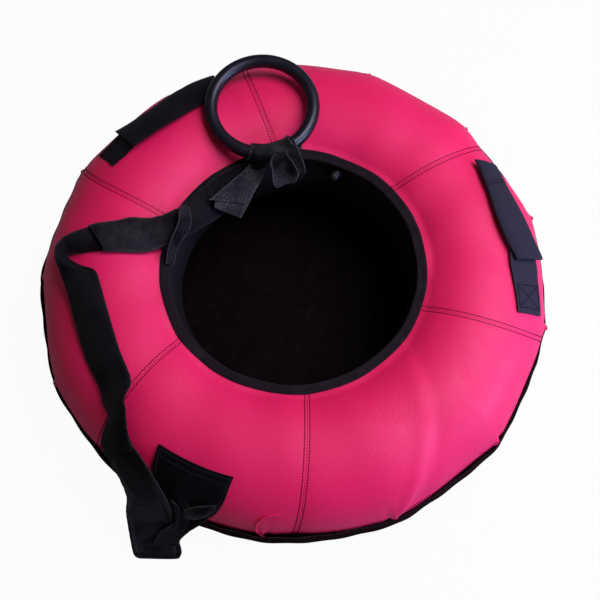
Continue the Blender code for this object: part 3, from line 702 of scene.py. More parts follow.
def seam_shift(across):
    """The seam's fine groove, the two rows sunk into the cloth and the pull beside them."""
    rows = bell(np.abs(across) - TWIN_NEEDLE / 2, 0.0009)
    return -0.0002 * bell(across, 0.0008) - 0.0003 * rows - 0.0009 * bell(across, 0.016)


def seam_distance(azimuth, share, radius):
    """Distance to the nearest seam between panels, in metres."""
    nearest = np.full(np.broadcast(azimuth, share).shape, 1.0)
    for seam in SEAM_ANGLES:
        across = np.radians(azimuth_difference(azimuth, seam_azimuth(seam, share))) * radius
        nearest = np.where(np.abs(across) < np.abs(nearest), across, nearest)
    return nearest


def cover_surface(azimuth, share, lift=0.0):
    """Points on the dressed cover, by azimuth and share of its height."""
    azimuth, share = np.broadcast_arrays(np.asarray(azimuth, float), np.asarray(share, float))
    radius = profile(share, PROFILE_RADIUS)
    slope = profile(share, PROFILE_SLOPE)
    shift = gather_shift(azimuth, profile(share, PROFILE_ARC)) + ripple(azimuth, share)
    shift = shift * portion((0.97 - share) / 0.10)
    shift = shift + seam_shift(seam_distance(azimuth, share, radius)) * portion((0.985 - share) / 0.04) + lift
    height = profile(share, PROFILE_HEIGHT) + lip_wave(azimuth) * portion((share - 0.80) / 0.15)
    return polar(radius + np.sin(slope) * shift, np.radians(azimuth), height - np.cos(slope) * shift)


def build_cover(material):
    """Six panels, each a thin shell between two seams."""
    share = np.linspace(0, 1, PANEL_ROWS) ** 1.12
    pieces = []
    for index, (start, end) in enumerate(zip(SEAM_ANGLES, SEAM_ANGLES[1:] + SEAM_ANGLES[:1])):
        first = seam_azimuth(start, share)
        second = seam_azimuth(end, share)
        second = second + np.where(second < first, 360.0, 0.0)
        width = np.radians(second - first) * profile(share, PROFILE_RADIUS)
        near = np.array(SEAM_SIDE_STEPS) / width[:, None]
        middle = near[:, -1:] + (1 - 2 * near[:, -1:]) * np.linspace(0, 1, PANEL_COLUMNS)[None, 1:-1]
        across = np.concatenate([near, middle, 1 - near[:, ::-1]], axis=1)
        azimuth = first[:, None] + (second - first)[:, None] * across
        outer = cover_surface(azimuth, share[:, None])
        uv = over_grid(np.radians(azimuth) * TUBE_RADIUS, profile(share, PROFILE_ARC)[:, None])
        sections = shell_sections(outer, surface_normals(outer), COVER_THICKNESS)
        piece = loft("cover_skin_%d" % (index + 1), sections, both_sides(uv), material)
        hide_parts("cover_panel_%d" % (index + 1))
        pieces.append(piece)
    return pieces


def build_gather_loop(material):
    """The cloth's pinched fold at the front gather, a thin roll that fades into the cover at both ends."""
    centre = smooth_run(np.array(GATHER_LOOP) / 1000, 6)
    run = unit(np.gradient(centre, axis=0))
    outward = unit(centre - np.array([0.0, -TUBE_RADIUS, SECTION_HALF_HEIGHT]))
    side = unit(np.cross(run, outward))
    rise = np.cross(side, run)
    swelling = np.sin(np.linspace(0.03, math.pi - 0.03, len(centre)))
    radius = LOOP_RADIUS * np.sqrt(np.clip(swelling, 0.02, 1))[:, None, None]
    turn = full_turn(12)
    circle = np.cos(turn)[:, None] * side[:, None] + np.sin(turn)[:, None] * rise[:, None]
    uv = over_grid(turn * LOOP_RADIUS, run_lengths(centre)[:, None])
    return loft("cover_gather_loop", centre[:, None] + radius * circle, uv, material,
                wrap_uv=(0.0, 2 * math.pi * LOOP_RADIUS))


# Base

def build_base(rim_material, sheet_material):
    """The rim that turns up to the seam, and the flat sheet inside it."""
    centre = FLAT_RADIUS + FACE_GAP
    top_turn = math.asin(SEAM_HEIGHT / RIM_BULGE_HEIGHT - 1)
    azimuth = np.linspace(0, 360, 540, endpoint=False)
    turns, azimuth = np.meshgrid(np.linspace(-math.pi / 2, top_turn, 44), azimuth)
    around = np.radians(azimuth)
    radius = centre + (RIM_OUTER_RADIUS - centre) * np.cos(turns)
    height = RIM_BULGE_HEIGHT * (1 + np.sin(turns))
    reach = portion(height / 0.05)
    shift = gather_shift(azimuth, np.maximum(SEAM_HEIGHT - height, 0) * 0.8, 0.15) * reach
    shift = shift + 0.0006 * np.sin(46 * around + 40 * height) * reach * (height / SEAM_HEIGHT)
    from_low_side = np.radians(azimuth_difference(azimuth, LOW_SIDE_AZIMUTH))
    shift = shift + 0.0015 * np.exp(-from_low_side ** 2 / 0.5) * reach
    hidden = portion((TUCK_REACH - np.abs(azimuth_difference(azimuth, TUCK_AZIMUTH))) / TUCK_EDGE)
    tuck = (0.0026 + 0.0080 * (1 - portion(height / SEAM_HEIGHT) ** 6)) * portion(height / 0.03)
    along_section = np.clip(height / SECTION_HALF_HEIGHT - 1, -1, 1)
    tube_side = TUBE_RADIUS + (SECTION_HALF_WIDTH - COVER_THICKNESS) * np.sqrt(1 - along_section ** 2)
    radius = radius + shift
    radius = np.minimum(radius, np.maximum(radius - tuck * hidden, tube_side + TUCK_GAP))
    normals = polar(np.cos(turns), around, np.sin(turns))
    sections = shell_sections(polar(radius, around, height), normals, SHEET_THICKNESS)
    uv = over_grid(around * RIM_OUTER_RADIUS, run_lengths(np.stack([radius[0], height[0]], axis=1)))
    rim = loft("base_rim_skin", sections, both_sides(uv), rim_material, ring=True,
               wrap_uv=(2 * math.pi * RIM_OUTER_RADIUS, 0.0))
    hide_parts("bottom_rim")

    radius, around = np.meshgrid(np.linspace(SHEET_MIDDLE, FLAT_RADIUS - 0.0002, 40), full_turn(180))
    crease = 0.0005 * (1 + np.sin(11 * around + 9 * radius)) * np.sin(math.pi * radius / FLAT_RADIUS) ** 2
    top = polar(radius, around, SHEET_THICKNESS + crease)
    sections = shell_sections(top, np.array([0.0, 0.0, 1.0]), SHEET_THICKNESS)
    sheet = loft("base_sheet_skin", sections, both_sides(top[..., :2]), sheet_material, ring=True)
    close_middle(sheet)
    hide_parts("bottom_panel")
    return [rim, sheet]


def close_middle(piece):
    """Draws the small hole left in the middle of a turned sheet together to one point on each side."""
    mesh = piece.data
    builder = bmesh.new()
    builder.from_mesh(mesh)
    for side in (True, False):
        ring = [corner for corner in builder.verts if (corner.co.z > SHEET_THICKNESS / 2) == side
                and math.hypot(corner.co.x, corner.co.y) < SHEET_MIDDLE + 0.0005]
        bmesh.ops.pointmerge(builder, verts=ring, merge_co=(0, 0, ring[0].co.z))
    loose = [edge for edge in builder.edges if not edge.link_faces]
    bmesh.ops.delete(builder, geom=loose, context="EDGES")
    builder.to_mesh(mesh)
    builder.free()


# Binding

def build_binding(material):
    """A tape folded over the panels' edge, a little uneven round the opening."""
    half_fold = COVER_THICKNESS / 2 + BINDING_TAPE
    bend = BINDING_WIDTH - half_fold
    top = [(along, half_fold) for along in np.linspace(0.0, bend, 9)]
    nose = [(bend + half_fold * math.cos(turn), half_fold * math.sin(turn))
            for turn in np.linspace(math.pi / 2, -math.pi / 2, 9)[1:-1]]
    under = [(along, -half_fold) for along in np.linspace(bend, BINDING_UNDER_START, 7)]
    line = np.array(top + nose + under)
    direction = unit(np.gradient(line, axis=0))
    side = np.stack([-direction[:, 1], direction[:, 0]], axis=1)
    half = BINDING_TAPE / 2 * np.ones((len(line), 1))
    half[[0, -1]] *= 0.35
    loop = np.concatenate([line + side * half, (line - side * half)[::-1]])
    distance = run_lengths(line)
    azimuth = np.linspace(0, 360, 360, endpoint=False)[:, None]
    turn = np.radians(azimuth)
    fall = math.radians(LIP_DROP_ANGLE) + 0.015 * np.sin(3 * turn + 1.0) + 0.01 * np.sin(8 * turn)
    along = loop[:, 0] + 0.0005 * np.sin(6 * turn + 0.8) + 0.0004 * np.sin(13 * turn)
    lift = loop[:, 1] + 0.0002 * np.sin(31 * turn)
    lip_height = profile(BINDING_SHARE, PROFILE_HEIGHT) + lip_wave(azimuth) - 0.0005
    radius = OPENING_RADIUS - along * np.cos(fall) - lift * np.sin(fall)
    sections = polar(radius, turn, lip_height - along * np.sin(fall) + lift * np.cos(fall))
    uv = over_grid(turn * OPENING_RADIUS, np.concatenate([distance, distance[::-1]]))
    piece = loft("binding_tape", sections, uv, material, ring=True,
                 wrap_uv=(2 * math.pi * OPENING_RADIUS, 0.0))
    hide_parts("opening_binding")
    return piece


# Webbing

def webbing_piece(name, left, right, material, thickness=TOW_THICKNESS, arch=0.0, ripple_height=0.0):
    """Webbing between two edge lines. arch lifts its middle, in metres along the run."""
    place = np.sin(np.linspace(-math.pi / 2, math.pi / 2, ACROSS_STEPS))
    middle = (left + right) / 2
    lift = unit(np.cross(right - left, unit(np.gradient(middle, axis=0))))
    share = (place + 1) / 2
    points = left[:, None] * (1 - share)[:, None] + right[:, None] * share[:, None]
    distance = run_lengths(middle)[:, None]
    arch = np.broadcast_to(arch, len(left))[:, None]
    rise = arch * (1 - place ** 2) + ripple_height * np.sin(distance * 420 + place * 2.6)
    points = points + lift[:, None] * rise[..., None]
    normals = surface_normals(points)
    half = thickness / 2 * np.sqrt(np.clip(1 - np.abs(place) ** 14, 0.02, 1))[:, None]
    sections = there_and_back(points + normals * half, points - normals * half)
    width = np.linalg.norm(right - left, axis=1).mean()
    uv = over_grid(distance, place * width / 2)
    selvedge = np.broadcast_to(np.abs(place), rise.shape)
    return loft(name, sections, both_sides(uv), material, stored={"selvedge": both_sides(selvedge)})


def route(rows):
    """A route's smooth left and right edge lines, in metres."""
    return smooth_run(np.array(rows, float).reshape(-1, 2, 3) / 1000, ROUTE_STEPS)


def strap_layer(name, rows, material, arch, ripple_height=0.0003):
    """Webbing along a route. Its arch is one rise, or rises by row of the route."""
    edges = route(rows)
    if isinstance(arch, dict):
        arch = np.interp(np.arange(len(edges)) / ROUTE_STEPS, list(arch), list(arch.values()))
    return webbing_piece(name, edges[:, 0], edges[:, 1], material, arch=arch, ripple_height=ripple_height)


def build_tow_strap(cloths):
    """The strap from the anchor to the ring, its loose end beside the hitch and its folds."""
    strap = strap_layer("tow_strap_webbing", TOW_ROUTE + (TUCKED_END,), cloths["tow"], TOW_ARCHES)
    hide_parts("tow_strap")
    tail = strap_layer("tow_strap_loose_end", TAIL_ROUTE, cloths["hitch"], TAIL_ARCHES)
    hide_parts("tow_strap_tail")
    folds = [strap_layer(name, rows, cloths[cloth], arch) for name, cloth, arch, rows in STRAP_FOLDS]
    return strap, [tail] + folds, route(TOW_ROUTE).mean(axis=1)


# Handles

# Each handle's path as (degrees about Z, degrees up the section) at its front, middle and rear. Its strap and
# grip by their ends in degrees about Z. The grip's width and sideways shift by share of its length. Then the
# slant of its upper end, how far the strap is bunched in it, the rear tab and the lean to one side.
HANDLES = {
    "right": {"path": ((347.3, 47.3), (372.0, 61.5), (392.0, 60.0)),
              "strap": (355.5, 388.5), "grip": (360.3, 391.0),
              "shares": (0.0, 0.20, 0.35, 0.50, 0.65, 0.80, 0.90, 1.0),
              "widths": (0.0446, 0.0428, 0.0412, 0.0382, 0.0348, 0.0350, 0.0344, 0.0340),
              "shifts": (0.0062, -0.0010, -0.0040, -0.0044, -0.0022, 0.0022, 0.0056, 0.0072),
              "slant": 0.0150, "bunched": 0.60, "rear_end": 389.6, "rear_width": 0.022, "rear_shift": 0.0070,
              "roll": 0.13},
    "left": {"path": ((149.2, 57.0), (130.0, 66.0), (111.0, 62.0)),
             "strap": (145.4, 120.0), "grip": (142.0, 110.3),
             "shares": (0.0, 0.05, 0.20, 0.35, 0.50, 0.65, 0.80, 1.0),
             "widths": (0.0562, 0.0540, 0.0514, 0.0508, 0.0536, 0.0550, 0.0532, 0.0492),
             "shifts": (0.0025, 0.0044, 0.0066, 0.0076, 0.0048, -0.0003, -0.0034, -0.0016),
             "slant": 0.0140, "bunched": 0.75, "rear_end": 113.6, "rear_width": 0.030, "rear_shift": -0.0020,
             "roll": 0.0},
}
STRAP_THICKNESS = 0.0020
WOVEN_THICKNESS = STRAP_THICKNESS * 0.9
STRAP_WIDTH = 0.046
STRAP_LIFT = STRAP_THICKNESS / 2 + 0.0006      # of its middle layer, where it lies flat
ARCH_LIFT = 0.0072                             # and at the middle of its slack run
GRIP_WIDTH = 0.048
GRIP_WALL = 0.0013
GRIP_LIFT = 0.0034                             # of the sleeve over the strap
GRIP_ROWS = (0.715, 0.745)                     # stitched across, as shares of the sleeve's length
GRIP_SEWN_SHARE = 0.80                         # of its width


def on_section(azimuth, angle, lift=0.0):
    """Points on the plain cover, or above it, and the directions away from it there."""
    slope = np.radians(angle)
    normal = unit(over_grid(np.cos(slope) / SECTION_HALF_WIDTH, np.sin(slope) / SECTION_HALF_HEIGHT))
    radius = TUBE_RADIUS + SECTION_HALF_WIDTH * np.cos(slope) + normal[..., 0] * lift
    height = SECTION_HALF_HEIGHT * (1 + np.sin(slope)) + normal[..., 1] * lift
    turn = np.radians(azimuth)
    return polar(radius, turn, height), polar(normal[..., 0], turn, normal[..., 1])


def handle_lines(path, azimuth, lift, width):
    """Left and right edges of a handle's webbing, its middle line, across and up directions."""
    (a0, s0), (a1, s1), (a2, s2) = path
    angle = (s0 * (azimuth - a1) * (azimuth - a2) / ((a0 - a1) * (a0 - a2))
             + s1 * (azimuth - a0) * (azimuth - a2) / ((a1 - a0) * (a1 - a2))
             + s2 * (azimuth - a0) * (azimuth - a1) / ((a2 - a0) * (a2 - a1)))
    middle, up = on_section(azimuth, angle, lift)
    across = unit(np.cross(unit(np.gradient(on_section(azimuth, angle)[0], axis=0)), up))
    half = np.broadcast_to(width, azimuth.shape)[:, None] / 2
    return middle - across * half, middle + across * half, middle, across, up


def sleeve(name, middle, across, up, width, thickness, material, crown, sag, slant):
    """A flattened sleeve with a slanted upper end: outer wall, then back inside along its inner wall."""
    turn = full_turn(28)
    flat = np.sign(np.cos(turn)) * np.abs(np.cos(turn)) ** 0.55
    tall = np.sign(np.sin(turn)) * np.abs(np.sin(turn)) ** 0.75
    run = unit(np.gradient(middle, axis=0))
    cut = -slant * np.linspace(0, 1, len(middle)) ** 5
    skew = run[:, None] * (cut[:, None] * (1 + flat) / 2)[..., None]
    bow = crown[:, None] * (1 - flat ** 2) + sag[:, None] * flat

    def loops(inset):
        aside = flat * (width / 2 - inset)[:, None]
        rise = tall * (thickness / 2 - inset)[:, None] + bow
        return middle[:, None] + skew + across[:, None] * aside[..., None] + up[:, None] * rise[..., None]

    sections = np.concatenate([loops(0.0), loops(GRIP_WALL)[::-1]])
    distance = run_lengths(middle)
    distance = np.concatenate([distance, distance[::-1]])[:, None]
    uv = over_grid(distance, turn / math.pi * GRIP_WIDTH)
    ends = np.minimum(distance, distance.max() - distance)
    # The sleeve's long edges and its ends take the painted edge highlight
    selvedge = np.maximum(np.abs(flat) * 0.9, 1 - 0.12 * np.clip(ends / 0.0012, 0, 9))
    return loft(name, sections, uv, material, ring=True, wrap_uv=(0.0, 2 * GRIP_WIDTH),
                stored={"selvedge": portion(selvedge)})


def grip_shape(handle, share):
    """A grip sleeve's width and sideways wander, by share of its length from its lower end."""
    place = smooth_run(handle["shares"], 8)
    return [np.interp(share, place, smooth_run(handle[key], 8)) for key in ("widths", "shifts")]


def along_strap(handle, azimuth):
    front, rear = handle["strap"]
    return portion((azimuth - front) / (rear - front))


def strap_lift(handle, azimuth):
    return STRAP_LIFT + (ARCH_LIFT - STRAP_LIFT) * np.sin(np.pi * along_strap(handle, azimuth))


def handle_roll(handle, azimuth):
    """How far the strap and its sleeve lean over, in metres of rise per metre of width."""
    return handle["roll"] * np.sin(np.pi * along_strap(handle, azimuth))


def grip_sag(handle, share, azimuth, width):
    """How far a sleeve's outer edge stands above its middle, and its inner edge below."""
    return 0.0007 * np.sin(5 * share + 0.6) + handle_roll(handle, azimuth) * width / 2


def tab_edges(handle, name, lift, inset=0.0):
    """Left and right edges of a sewn tab, from its sewn end to the strap or back."""
    path = handle["path"]
    front, rear = handle["strap"]
    if name == "tab_front":
        return handle_lines(path, np.linspace(path[0][0], front, 24), lift, STRAP_WIDTH - 2 * inset)[:2]
    azimuth = np.linspace(rear, handle["rear_end"], 24)
    left, right, _, across, _ = handle_lines(path, azimuth, lift, handle["rear_width"] - 2 * inset)
    return left + across * handle["rear_shift"], right + across * handle["rear_shift"]


def build_handle(side, cloth):
    """Strap, grip sleeve and two sewn tabs of one handle."""
    handle = HANDLES[side]
    body = "handle_" + side
    azimuth = np.linspace(*handle["strap"], 60)
    along = along_strap(handle, azimuth)
    width = STRAP_WIDTH * (1 - (1 - handle["bunched"]) * portion((along - 0.12) / 0.25))
    left, right, _, across, up = handle_lines(handle["path"], azimuth, strap_lift(handle, azimuth), width)
    aside = (handle["rear_shift"] * portion((along - 0.5) / 0.4))[:, None] * across
    tip = (handle_roll(handle, azimuth) * width / 2)[:, None] * up
    strap = webbing_piece(body + "_webbing", left + aside - tip, right + aside + tip, cloth, WOVEN_THICKNESS,
                          ripple_height=0.0002)
    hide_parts(body + "_strap")
    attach(strap, body)

    azimuth = np.linspace(*handle["grip"], 70)
    share = np.linspace(0, 1, 70)
    width, shift = grip_shape(handle, share)
    thickness = 0.0046 + 0.0016 * bell(share - 1, 0.08) + 0.0010 * bell(share, 0.06)
    thickness = thickness * (1 - 0.45 * bell(share - 1, 0.02))
    lift = strap_lift(handle, azimuth) + GRIP_LIFT + 0.0028 * bell(share, 0.10)
    _, _, middle, across, up = handle_lines(handle["path"], azimuth, lift, GRIP_WIDTH)
    middle = middle + across * shift[:, None]
    crown = 0.0012 + 0.0006 * np.sin(7 * share)
    sag = grip_sag(handle, share, azimuth, width)
    grip = sleeve(body + "_sleeve", middle, across, up, width, thickness, cloth, crown, sag, handle["slant"])
    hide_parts(body + "_grip")
    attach(grip, body)

    for name in ("tab_front", "tab_rear"):
        left, right = tab_edges(handle, name, STRAP_LIFT)
        tab = webbing_piece("%s_%s_webbing" % (body, name), left, right, cloth, WOVEN_THICKNESS,
                            ripple_height=0.0001)
        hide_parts("%s_%s" % (body, name))
        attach(tab, "tube")


# Tow anchor

# Degrees about Z, degrees up the section and width, from the sewn edge to the lower fold
ANCHOR_STATIONS = ((246.2, 63.0, 0.102), (246.2, 54.0, 0.1005), (246.4, 45.0, 0.0985),
                   (246.8, 37.0, 0.089), (247.9, 30.0, 0.069), (249.4, 24.0, 0.040))


def anchor_stations():
    """Azimuth, section angle and half width in degrees along the anchor, and its width in metres."""
    azimuth, angle, width = smooth_run(ANCHOR_STATIONS, 9).T
    half = np.degrees(width / 2 / (TUBE_RADIUS + SECTION_HALF_WIDTH * np.cos(np.radians(angle))))
    return azimuth, angle, half, width


def build_anchor(material):
    """A wide webbing loop sewn to the cover, gathered in pleats towards its lower fold."""
    azimuth, angle, half, width = anchor_stations()
    down = np.linspace(0, 1, len(azimuth))[:, None]
    place = np.sin(np.linspace(-math.pi / 2, math.pi / 2, 44))
    azimuths = azimuth[:, None] + half[:, None] * place
    pleats = 0.0032 * (0.5 + 0.5 * np.cos(place * 9.0 + 0.8 + 1.5 * down))
    hump = 0.0050 * (1 - place ** 2)
    lift = 0.0030 + (pleats + hump) * down ** 1.6 + 0.0004 * np.sin(5 * place + 6 * down)
    outer, _ = on_section(azimuths, angle[:, None], lift)
    base, _ = on_section(azimuths, angle[:, None], 0.0012)
    uv = over_grid(run_lengths(outer[:, 22])[:, None], place * width[:, None] / 2)
    # The lower fold takes the painted edge highlight as well
    selvedge = np.maximum(np.abs(place), (down > 0.93) * 0.9)
    piece = loft("tow_anchor_webbing", there_and_back(outer, base), both_sides(uv), material,
                 stored={"selvedge": both_sides(selvedge)})
    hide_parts("tow_anchor")
    return piece


# Geometry node trees

def start_tree(name, inputs):
    """A tree with named inputs and a material, and the sockets that give them."""
    tree = bpy.data.node_groups.new(name, "GeometryNodeTree")
    tree.interface.new_socket("Geometry", in_out="INPUT", socket_type="NodeSocketGeometry")
    for label, value in inputs.items():
        kind = "NodeSocketInt" if isinstance(value, int) else "NodeSocketFloat"
        tree.interface.new_socket(label, in_out="INPUT", socket_type=kind).default_value = value
    tree.interface.new_socket("Material", in_out="INPUT", socket_type="NodeSocketMaterial")
    tree.interface.new_socket("Geometry", in_out="OUTPUT", socket_type="NodeSocketGeometry")
    return tree, tree.nodes.new("NodeGroupInput").outputs


def finish_tree(tree, given, geometry):
    """Ends a tree in Realize Instances and Set Material."""
    real = feed(tree, "GeometryNodeRealizeInstances", {"Geometry": geometry})
    painted = feed(tree, "GeometryNodeSetMaterial", {"Geometry": real, "Material": given["Material"]})
    tree.links.new(painted, tree.nodes.new("NodeGroupOutput").inputs["Geometry"])
    return tree


def stitch_tree():
    """Stitches along lines: one small rounded thread a pitch apart, lying along the line."""
    tree, given = start_tree("stitches_along_lines", {"Pitch": STITCH_PITCH, "Length": STITCH_LENGTH,
                                                      "Width": STITCH_WIDTH})
    curve = feed(tree, "GeometryNodeMeshToCurve", {"Mesh": given["Geometry"]})
    spaced = feed(tree, "GeometryNodeResampleCurve", {"Curve": curve, "Length": given["Pitch"]},
                  mode="LENGTH")
    ball = feed(tree, "GeometryNodeMeshUVSphere", {"Segments": 6, "Rings": 4, "Radius": 0.5})
    size = feed(tree, "ShaderNodeCombineXYZ", {"X": given["Width"], "Y": given["Width"],
                                               "Z": given["Length"]})
    stretched = feed(tree, "GeometryNodeTransform", {"Geometry": ball, "Scale": size})
    tangent = feed(tree, "GeometryNodeInputTangent", {})
    lying = feed(tree, "FunctionNodeAlignRotationToVector", {"Vector": tangent}, axis="Z")
    placed = feed(tree, "GeometryNodeInstanceOnPoints", {"Points": spaced, "Instance": stretched,
                                                         "Rotation": lying})
    return finish_tree(tree, given, placed)


def ring_tree():
    """A round bar bent to a circle, with an elliptical section."""
    tree, given = start_tree("bar_bent_to_a_circle", {
        "Radius": RING_CENTRELINE, "Section Width": RING_TUBE_RADIUS, "Section Height": RING_TUBE_RADIUS,
        "Steps Around": 144, "Steps Across": 32})
    circle = "GeometryNodeCurvePrimitiveCircle"
    path = feed(tree, circle, {"Radius": given["Radius"], "Resolution": given["Steps Around"]})
    section = feed(tree, circle, {"Radius": 1.0, "Resolution": given["Steps Across"]})
    size = feed(tree, "ShaderNodeCombineXYZ", {"X": given["Section Width"], "Y": given["Section Height"],
                                               "Z": 1.0})
    shaped = feed(tree, "GeometryNodeTransform", {"Geometry": section, "Scale": size})
    bar = feed(tree, "GeometryNodeCurveToMesh", {"Curve": path, "Profile Curve": shaped})
    return finish_tree(tree, given, bar)


def grow(name, mesh, tree, values):
    """Runs a tree on a mesh and returns the plain result, with outward faces."""
    holder = new_object(name + "_lines", mesh)
    modifier = holder.modifiers.new("growth", "NODES")
    modifier.node_group = tree
    for item in tree.interface.items_tree:
        if item.item_type == "SOCKET" and item.in_out == "INPUT" and item.name in values:
            modifier[item.identifier] = values[item.name]
    grown = bpy.data.meshes.new_from_object(holder.evaluated_get(bpy.context.evaluated_depsgraph_get()))
    holder.modifiers.remove(modifier)
    bpy.data.objects.remove(holder)
    smooth_outwards(grown)
    return new_object(name, grown)


def line_mesh(name, lines):
    """One mesh of open lines, each an array of points."""
    points, edges = [], []
    for line in lines:
        first = len(points)
        points += [tuple(point) for point in line]
        edges += [(first + index, first + index + 1) for index in range(len(line) - 1)]
    mesh = bpy.data.meshes.new(name)
    mesh.from_pydata(points, edges, [])
    return mesh


# Stitching

def panel_seam_lines():
    """Two rows along each seam between panels."""
    share = np.linspace(*SEAM_ROWS, 90)
    aside = np.degrees(TWIN_NEEDLE / 2 / profile(share, PROFILE_RADIUS))
    return [cover_surface(seam_azimuth(seam, share) + side * aside, share, SEAM_ROW_LIFT)
            for seam in SEAM_ANGLES for side in (-1, 1)]


def handle_tab_lines():
    """A box with a cross on every sewn tab."""
    lines = []
    steps = np.linspace(0, 1, 12)
    track = np.linspace(0, 1, 24)
    for handle in HANDLES.values():
        for name in ("tab_front", "tab_rear"):
            edges = tab_edges(handle, name, TAB_ROW_LIFT, TAB_ROW_INSET)
            for along, across in ((steps, 0), (steps, 1), (0, steps), (1, steps),
                                  (steps, steps), (steps, steps[::-1])):
                along, across = np.broadcast_arrays(TAB_BOX_START + TAB_BOX_LENGTH * along, across)
                left, right = [over_grid(*[np.interp(along, track, values) for values in edge.T])
                               for edge in edges]
                lines.append(left * (1 - across)[:, None] + right * across[:, None])
    return lines


def anchor_lines():
    """Two rows inside the anchor's upper edge and one down each side."""
    azimuth, angle, half, _ = anchor_stations()
    place = np.linspace(-ANCHOR_SEWN_SHARE, ANCHOR_SEWN_SHARE, 30)
    rows = [on_section(azimuth[row] + half[row] * place, angle[row], ANCHOR_ROW_LIFT)[0]
            for row in ANCHOR_ROWS]
    down = slice(3, 26)
    return rows + [on_section(azimuth[down] + half[down] * side, angle[down], ANCHOR_SIDE_LIFT)[0]
                   for side in (-ANCHOR_SEWN_SHARE, ANCHOR_SEWN_SHARE)]


def grip_lines(side):
    """Two short rows across a grip sleeve near its upper end."""
    handle = HANDLES[side]
    front, rear = handle["grip"]
    strap_front, strap_rear = handle["strap"]
    steps = np.linspace(0, 1, 10)[:, None]
    outward = 2 * steps - 1
    lines = []
    for share in GRIP_ROWS:
        azimuth = front + (rear - front) * share
        width, shift = grip_shape(handle, share)
        track = azimuth + np.array([-0.05, 0, 0.05])
        arch = math.sin(math.pi * (azimuth - strap_front) / (strap_rear - strap_front))
        lift = STRAP_LIFT + (ARCH_LIFT - STRAP_LIFT) * arch + GRIP_LIFT
        left, right, _, across, up = handle_lines(handle["path"], track, lift, width * GRIP_SEWN_SHARE)
        crown = 0.0021 + 0.0011 * (1 - outward ** 2)
        crown = crown + grip_sag(handle, share, azimuth, width) * GRIP_SEWN_SHARE * outward
        lines.append(left[1] * (1 - steps) + right[1] * steps + across[1] * shift + up[1] * crown)
    return lines


def build_stitching(cover_thread, black_thread):
    tree = stitch_tree()
    sizes = {"Pitch": STITCH_PITCH, "Length": STITCH_LENGTH, "Width": STITCH_WIDTH}
    round_lip = [cover_surface(np.linspace(0, 360, 500), BINDING_ROW, BINDING_ROW_LIFT)]
    round_seam = [cover_surface(np.linspace(0, 360, 700), BASE_ROW, BASE_ROW_LIFT)]
    pieces = (
        ("panel_seam_stitches", panel_seam_lines(), cover_thread, "tube"),
        ("binding_stitches", round_lip, black_thread, "tube"),
        ("base_seam_stitches", round_seam, cover_thread, "tube"),
        ("tab_stitches", handle_tab_lines(), black_thread, "tube"),
        ("anchor_stitches", anchor_lines(), black_thread, "tube"),
        ("right_grip_stitches", grip_lines("right"), black_thread, "handle_right"),
        ("left_grip_stitches", grip_lines("left"), black_thread, "handle_left"),
    )
    for name, lines, material, body in pieces:
        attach(grow(name, line_mesh(name, lines), tree, {**sizes, "Material": material}), body)


# Ring and hitch

def ring_place():
    return Matrix.Translation(RING_CENTRE) @ Matrix.Rotation(math.radians(RING_TILT), 4, "X")


def build_rings(rubber, tube_material):
    """The tow ring and the inner tube, both bars bent to a circle."""
    tree = ring_tree()
    ring = grow("tow_ring_rubber", bpy.data.meshes.new("nothing"), tree, {"Material": rubber})
    ring.data.transform(ring_place())
    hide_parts("tow_ring")
    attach(ring, "ring")
    tube = grow("inner_tube_rubber", bpy.data.meshes.new("nothing_else"), tree, {
        "Radius": TUBE_RADIUS, "Section Width": SECTION_HALF_WIDTH - TUBE_IN_ACROSS,
        "Section Height": SECTION_HALF_HEIGHT - TUBE_IN_UP, "Steps Around": 200, "Steps Across": 96,
        "Material": tube_material})
    tube.data.transform(Matrix.Translation((0, 0, SECTION_HALF_HEIGHT)))
    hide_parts("inner_tube")
    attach(tube, "tube")


def wrap_piece(name, start, end, radius, material, tilt):
    """A band of webbing wound once round the ring between two of its angles."""
    turn = full_turn(WRAP_STEPS_ROUND)[:, None]
    place = np.linspace(-1, 1, WRAP_STEPS_ACROSS)
    half = TOW_THICKNESS / 2 * np.sqrt(np.clip(1 - np.abs(place) ** 10, 0.03, 1))
    twist = np.radians(np.linspace(start, end, WRAP_STEPS_ACROSS)) + tilt * np.sin(turn)
    crumple = 0.0005 * np.sin(4 * turn + 3 * place) + 0.0004 * np.sin(9 * turn)
    sides = []
    for reach in (radius + crumple + half, radius + crumple - half):
        sides.append(polar(RING_CENTRELINE + reach * np.cos(turn), twist, reach * np.sin(turn)))
    matrix = np.array(ring_place())
    sections = there_and_back(*sides) @ matrix[:3, :3].T + matrix[:3, 3]
    width = math.radians(end - start) * RING_CENTRELINE
    uv = over_grid(turn * radius, place * width / 2)
    selvedge = np.broadcast_to(np.abs(place), (len(turn), len(place)))
    return loft(name, sections, both_sides(uv), material, ring=True, wrap_uv=(2 * math.pi * radius, 0.0),
                stored={"selvedge": both_sides(selvedge)})


def build_hitch(material):
    """Two turns of the strap round the ring, and the fold and band that hang from them over the opening."""
    wrap = wrap_piece("hitch_wrap", -104, -72, 0.0117, material, 0.05)
    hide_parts("ring_hitch")
    second = wrap_piece("hitch_second_turn", -70, -50, 0.0121, material, -0.10)
    fold = strap_layer("hitch_fold", HITCH_FOLD, material, {0: 0.002, 2.1: 0.005, 4.9: 0.004, 7: 0.001})
    band = strap_layer("hitch_band", HITCH_BAND, material, 0.0015, ripple_height=0.0002)
    for piece in (wrap, second, fold, band):
        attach(piece, "hitch")
    return [wrap, second, fold, band]


# Valve

def valve_place():
    return Matrix.Translation(VALVE_BASE) @ Vector(VALVE_AXIS).to_track_quat("Z", "Y").to_matrix().to_4x4()


